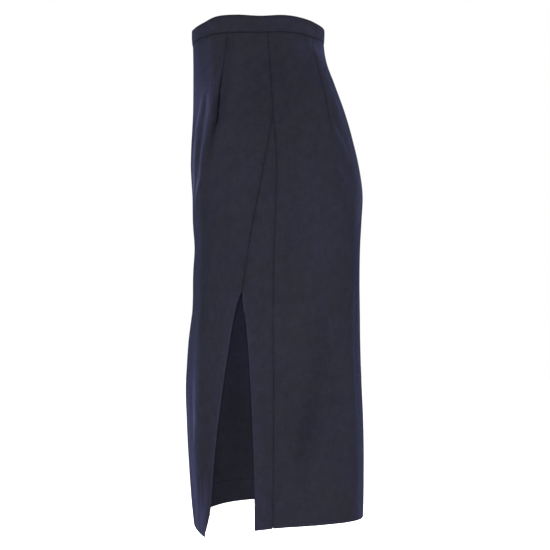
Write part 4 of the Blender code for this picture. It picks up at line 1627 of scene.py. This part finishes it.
def cloth_tone():
    """Uneven dyeing and yarns: slow drift, clouds, slubs each way, bluer places and lint."""
    amounts = [(name.capitalize(), "NodeSocketFloat", getattr(WOOL, name)) for name in UNEVEN]
    group, given, result = shader_group(
        "cloth_tone",
        [("Place", "NodeSocketVector", None), *amounts],
        [("Tone", "NodeSocketColor")],
    )
    calc = partial(maths, group)
    tone = 1.0
    for title, grain in TONE_GRAINS:
        place = vector_maths(group, "MULTIPLY", given["Place"], grain)
        uneven = calc("SUBTRACT", noise_at(group, place, 1.0, *GRAIN_DETAIL), 0.5)
        tone = calc("MULTIPLY_ADD", uneven, given[title], tone)
    aside = vector_maths(group, "ADD", given["Place"], BLUE_ASIDE)
    fine = calc("SUBTRACT", noise_at(group, aside, *BLUE_FINE), 0.5)
    broad = calc("SUBTRACT", noise_at(group, aside, *BLUE_BROAD), 0.5)
    bluer = calc("MULTIPLY_ADD", broad, BLUE_BROAD_PART, fine)
    spots = group.nodes.new("ShaderNodeTexVoronoi")
    place = vector_maths(group, "MULTIPLY", given["Place"], LINT_PLACES)
    fill(group, spots, {"Vector": place, "Scale": 1.0})
    near = calc("DIVIDE", spots.outputs["Distance"], LINT_SIZE)
    lint = calc("MAXIMUM", calc("SUBTRACT", 1.0, near), 0.0)
    tone = calc("MULTIPLY_ADD", lint, given["Lint"], tone)
    blue = calc("MULTIPLY", tone, calc("MULTIPLY_ADD", bluer, given["Blue"], 1.0))
    colour = group.nodes.new("ShaderNodeCombineColor")
    fill(group, colour, {"Red": tone, "Green": tone, "Blue": blue})
    fill(group, result, {"Tone": colour.outputs["Color"]})
    return group


def new_material(name):
    """A new material, with its node tree and its shader."""
    material = bpy.data.materials.new(name)
    material.use_nodes = True
    tree = material.node_tree
    return material, tree, tree.nodes["Principled BSDF"]


def placed_group(tree, group, values):
    """A node group in a material with its own values; gives its outputs."""
    node = tree.nodes.new("ShaderNodeGroup")
    node.node_tree = group
    return fill(tree, node, values).outputs


def cloth_material(name, look, weave, tone, by_map=True):
    """Woven cloth: twill ribs as colour and bump, uneven tone, a soft nap, and painted light."""
    material, tree, shader = new_material(name)
    if by_map:
        own = tree.nodes.new("ShaderNodeUVMap")
        own.uv_map = "cloth"
        place = own.outputs["UV"]
    else:
        place = tree.nodes.new("ShaderNodeTexCoord").outputs["Object"]
    ribs = placed_group(tree, weave, {"Place": place, "Pitch": look.pitch, "Lean": look.lean})
    amounts = {name.capitalize(): getattr(look, name) for name in UNEVEN}
    drift = placed_group(tree, tone, {"Place": place, **amounts})
    # the attribute carries painted light: bluish pale colours over 0, a painted shade scale under
    # 0
    attribute = tree.nodes.new("ShaderNodeAttribute")
    attribute.attribute_name = "painted_light_strength"
    painted_light_strength = attribute.outputs["Fac"]
    woven = mixed(tree, ribs["Rib"], (*look.dark, 1.0), (*look.light, 1.0))
    painted_sheen_colour = mixed(tree, painted_light_strength, (*look.rubbed, 1.0), (*look.bare, 1.0))
    colour = vector_maths(tree, "MULTIPLY", mixed(tree, painted_light_strength, woven, painted_sheen_colour), drift["Tone"])
    shade = maths(tree, "ADD", maths(tree, "MINIMUM", painted_light_strength, 0.0), 1.0)
    values = {
        "Base Color": vector_maths(tree, "SCALE", colour, shade),
        "Normal": bumped(tree, ribs["Height"], look.depth),
        "Roughness": look.roughness,
        "Specular IOR Level": CLOTH_SPECULAR,
        "Sheen Weight": look.sheen,
        "Sheen Roughness": look.sheen_rough,
        "Sheen Tint": (*SHEEN_TINT, 1.0),
    }
    fill(tree, shader, values)
    return material


def zip_lacquer():
    """Painted zip metal with a faint mottle."""
    material, tree, shader = new_material("zip_lacquer")
    place = tree.nodes.new("ShaderNodeTexCoord").outputs["Object"]
    mottle = noise_at(tree, place, *LACQUER_GRAIN)
    values = {
        "Base Color": mixed(tree, mottle, (*LACQUER_DARK, 1.0), (*LACQUER_LIGHT, 1.0)),
        "Normal": bumped(tree, mottle, LACQUER_DEPTH),
        "Roughness": maths(tree, "MULTIPLY_ADD", mottle, LACQUER_MOTTLE, LACQUER_ROUGH),
        "Metallic": LACQUER_METAL,
    }
    fill(tree, shader, values)
    return material


def floor_material():
    """Dull pale paint that glows a little, to keep the floor even."""
    material, tree, shader = new_material("pale_floor")
    values = {
        "Base Color": (*FLOOR_COLOUR, 1.0),
        "Roughness": 1.0,
        "Specular IOR Level": 0.0,
        "Emission Color": WHITE,
        "Emission Strength": FLOOR_GLOW,
    }
    fill(tree, shader, values)
    return material


def floor():
    """A wide round floor, well under the hem."""
    net = bmesh.new()
    bmesh.ops.create_circle(net, cap_ends=True, segments=FLOOR_SIDES, radius=FLOOR_RADIUS)
    bmesh.ops.translate(net, verts=net.verts, vec=(0, 0, FLOOR_Z))
    mesh = bpy.data.meshes.new("floor")
    net.to_mesh(mesh)
    net.free()
    mesh.materials.append(floor_material())
    placed("floor", mesh)


def light(name, place, size, power):
    """A square lamp aimed at the middle of the skirt."""
    lamp = bpy.data.lights.new(name, "AREA")
    lamp.shape = "SQUARE"
    lamp.size = size
    lamp.energy = power
    thing = placed(name, lamp)
    thing.location = place
    aim = Vector(SKIRT_MIDDLE) - Vector(place)
    thing.rotation_euler = aim.to_track_quat("-Z", "Y").to_euler()
    thing.visible_camera = False


def studio():
    """White surroundings, a pale floor and the lamps."""
    world = bpy.data.worlds.new("studio")
    bpy.context.scene.world = world
    world.use_nodes = True
    sky = world.node_tree.nodes["Background"]
    fill(world.node_tree, sky, {"Color": WHITE, "Strength": SKY})
    bpy.context.scene.view_settings.view_transform = "Standard"
    floor()
    for lamp in LAMPS:
        light(*lamp)


def camera():
    """The camera, level and square to the skirt's left side."""
    lens = bpy.data.cameras.new("camera")
    lens.sensor_width = SENSOR
    lens.lens = FOCAL_PIXELS / IMAGE * SENSOR
    lens.shift_y = SHIFT_UP
    thing = placed("camera", lens)
    thing.location = CAMERA_PLACE
    thing.rotation_euler = [radians(turn) for turn in CAMERA_TURN]
    bpy.context.scene.camera = thing


camera()
studio()

weave, tone = twill_weave(), cloth_tone()
wool = cloth_material("navy_wool_twill", WOOL, weave, tone)
tape_cloth = cloth_material("zip_tape_weave", TAPE, weave, tone)
thread = cloth_material("navy_thread", THREAD_LOOK, weave, tone, by_map=False)
lacquer = zip_lacquer()

front = panel(
    "front_cloth",
    guides=[
        right_seam,
        on_right(front_dart(side_seam)),
        centre_front,
        front_dart(front_left_edge),
        front_left_edge,
    ],
    darts=dict.fromkeys((1, 3), (FRONT_DART_END, FRONT_DART_SHADES)),
    rims=[side_rim, slanting_rim],
    shift=front_shift,
    material=wool,
)
side = panel(
    "side_cloth",
    guides=[side_panel_edge, side_seam],
    darts={},
    rims=[slanting_rim, side_rim],
    shift=side_shift,
    material=wool,
    top=SIDE_PANEL_TOP,
)
back = panel(
    "back_cloth",
    guides=[
        side_seam,
        back_dart,
        centre_back,
        right_round_back(back_dart),
        right_seam_round_back,
    ],
    darts=dict.fromkeys((1, 3), (BACK_DART_END, BACK_DART_SHADES)),
    rims=[side_rim, side_rim],
    shift=no_shift,
    material=wool,
)
band = waistband(wool)
facing = band_facing(wool)
front_turnings, side_turnings, back_turnings = turnings(wool)
tapes = zip_tapes(tape_cloth)
repeat = repeat_tree()
overlocking, tacks = stitches(thread, repeat)
coil = zip_coil(lacquer, repeat)
slider = bevelled_copy("zip_slider_body", "zip_slider", SLIDER_BEVEL, lacquer)
pull = bevelled_copy("zip_pull_tab", "zip_pull", PULL_BEVEL, lacquer)

for piece, body, slot, *nodes in (
    (front, "skirt", "wool_cloth", "front_panel"),
    (side, "skirt", "wool_cloth", "side_panel"),
    (back, "skirt", "wool_cloth", "back_panel"),
    (band, "skirt", "wool_cloth", "waistband"),
    (facing, "skirt", "wool_cloth"),
    (front_turnings, "skirt", "wool_cloth"),
    (side_turnings, "skirt", "wool_cloth"),
    (back_turnings, "skirt", "wool_cloth"),
    (tapes, "skirt", "zip_tape", "zip_tape"),
    (overlocking, "skirt", "wool_cloth"),
    (tacks, "skirt", "wool_cloth"),
    (coil, "skirt", "zip_tape"),
    (slider, "skirt", "zip_metal", "zip_slider"),
    (pull, "zip_pull", "zip_metal", "zip_pull"),
):
    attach(piece, body)
    if nodes:
        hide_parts(*nodes)
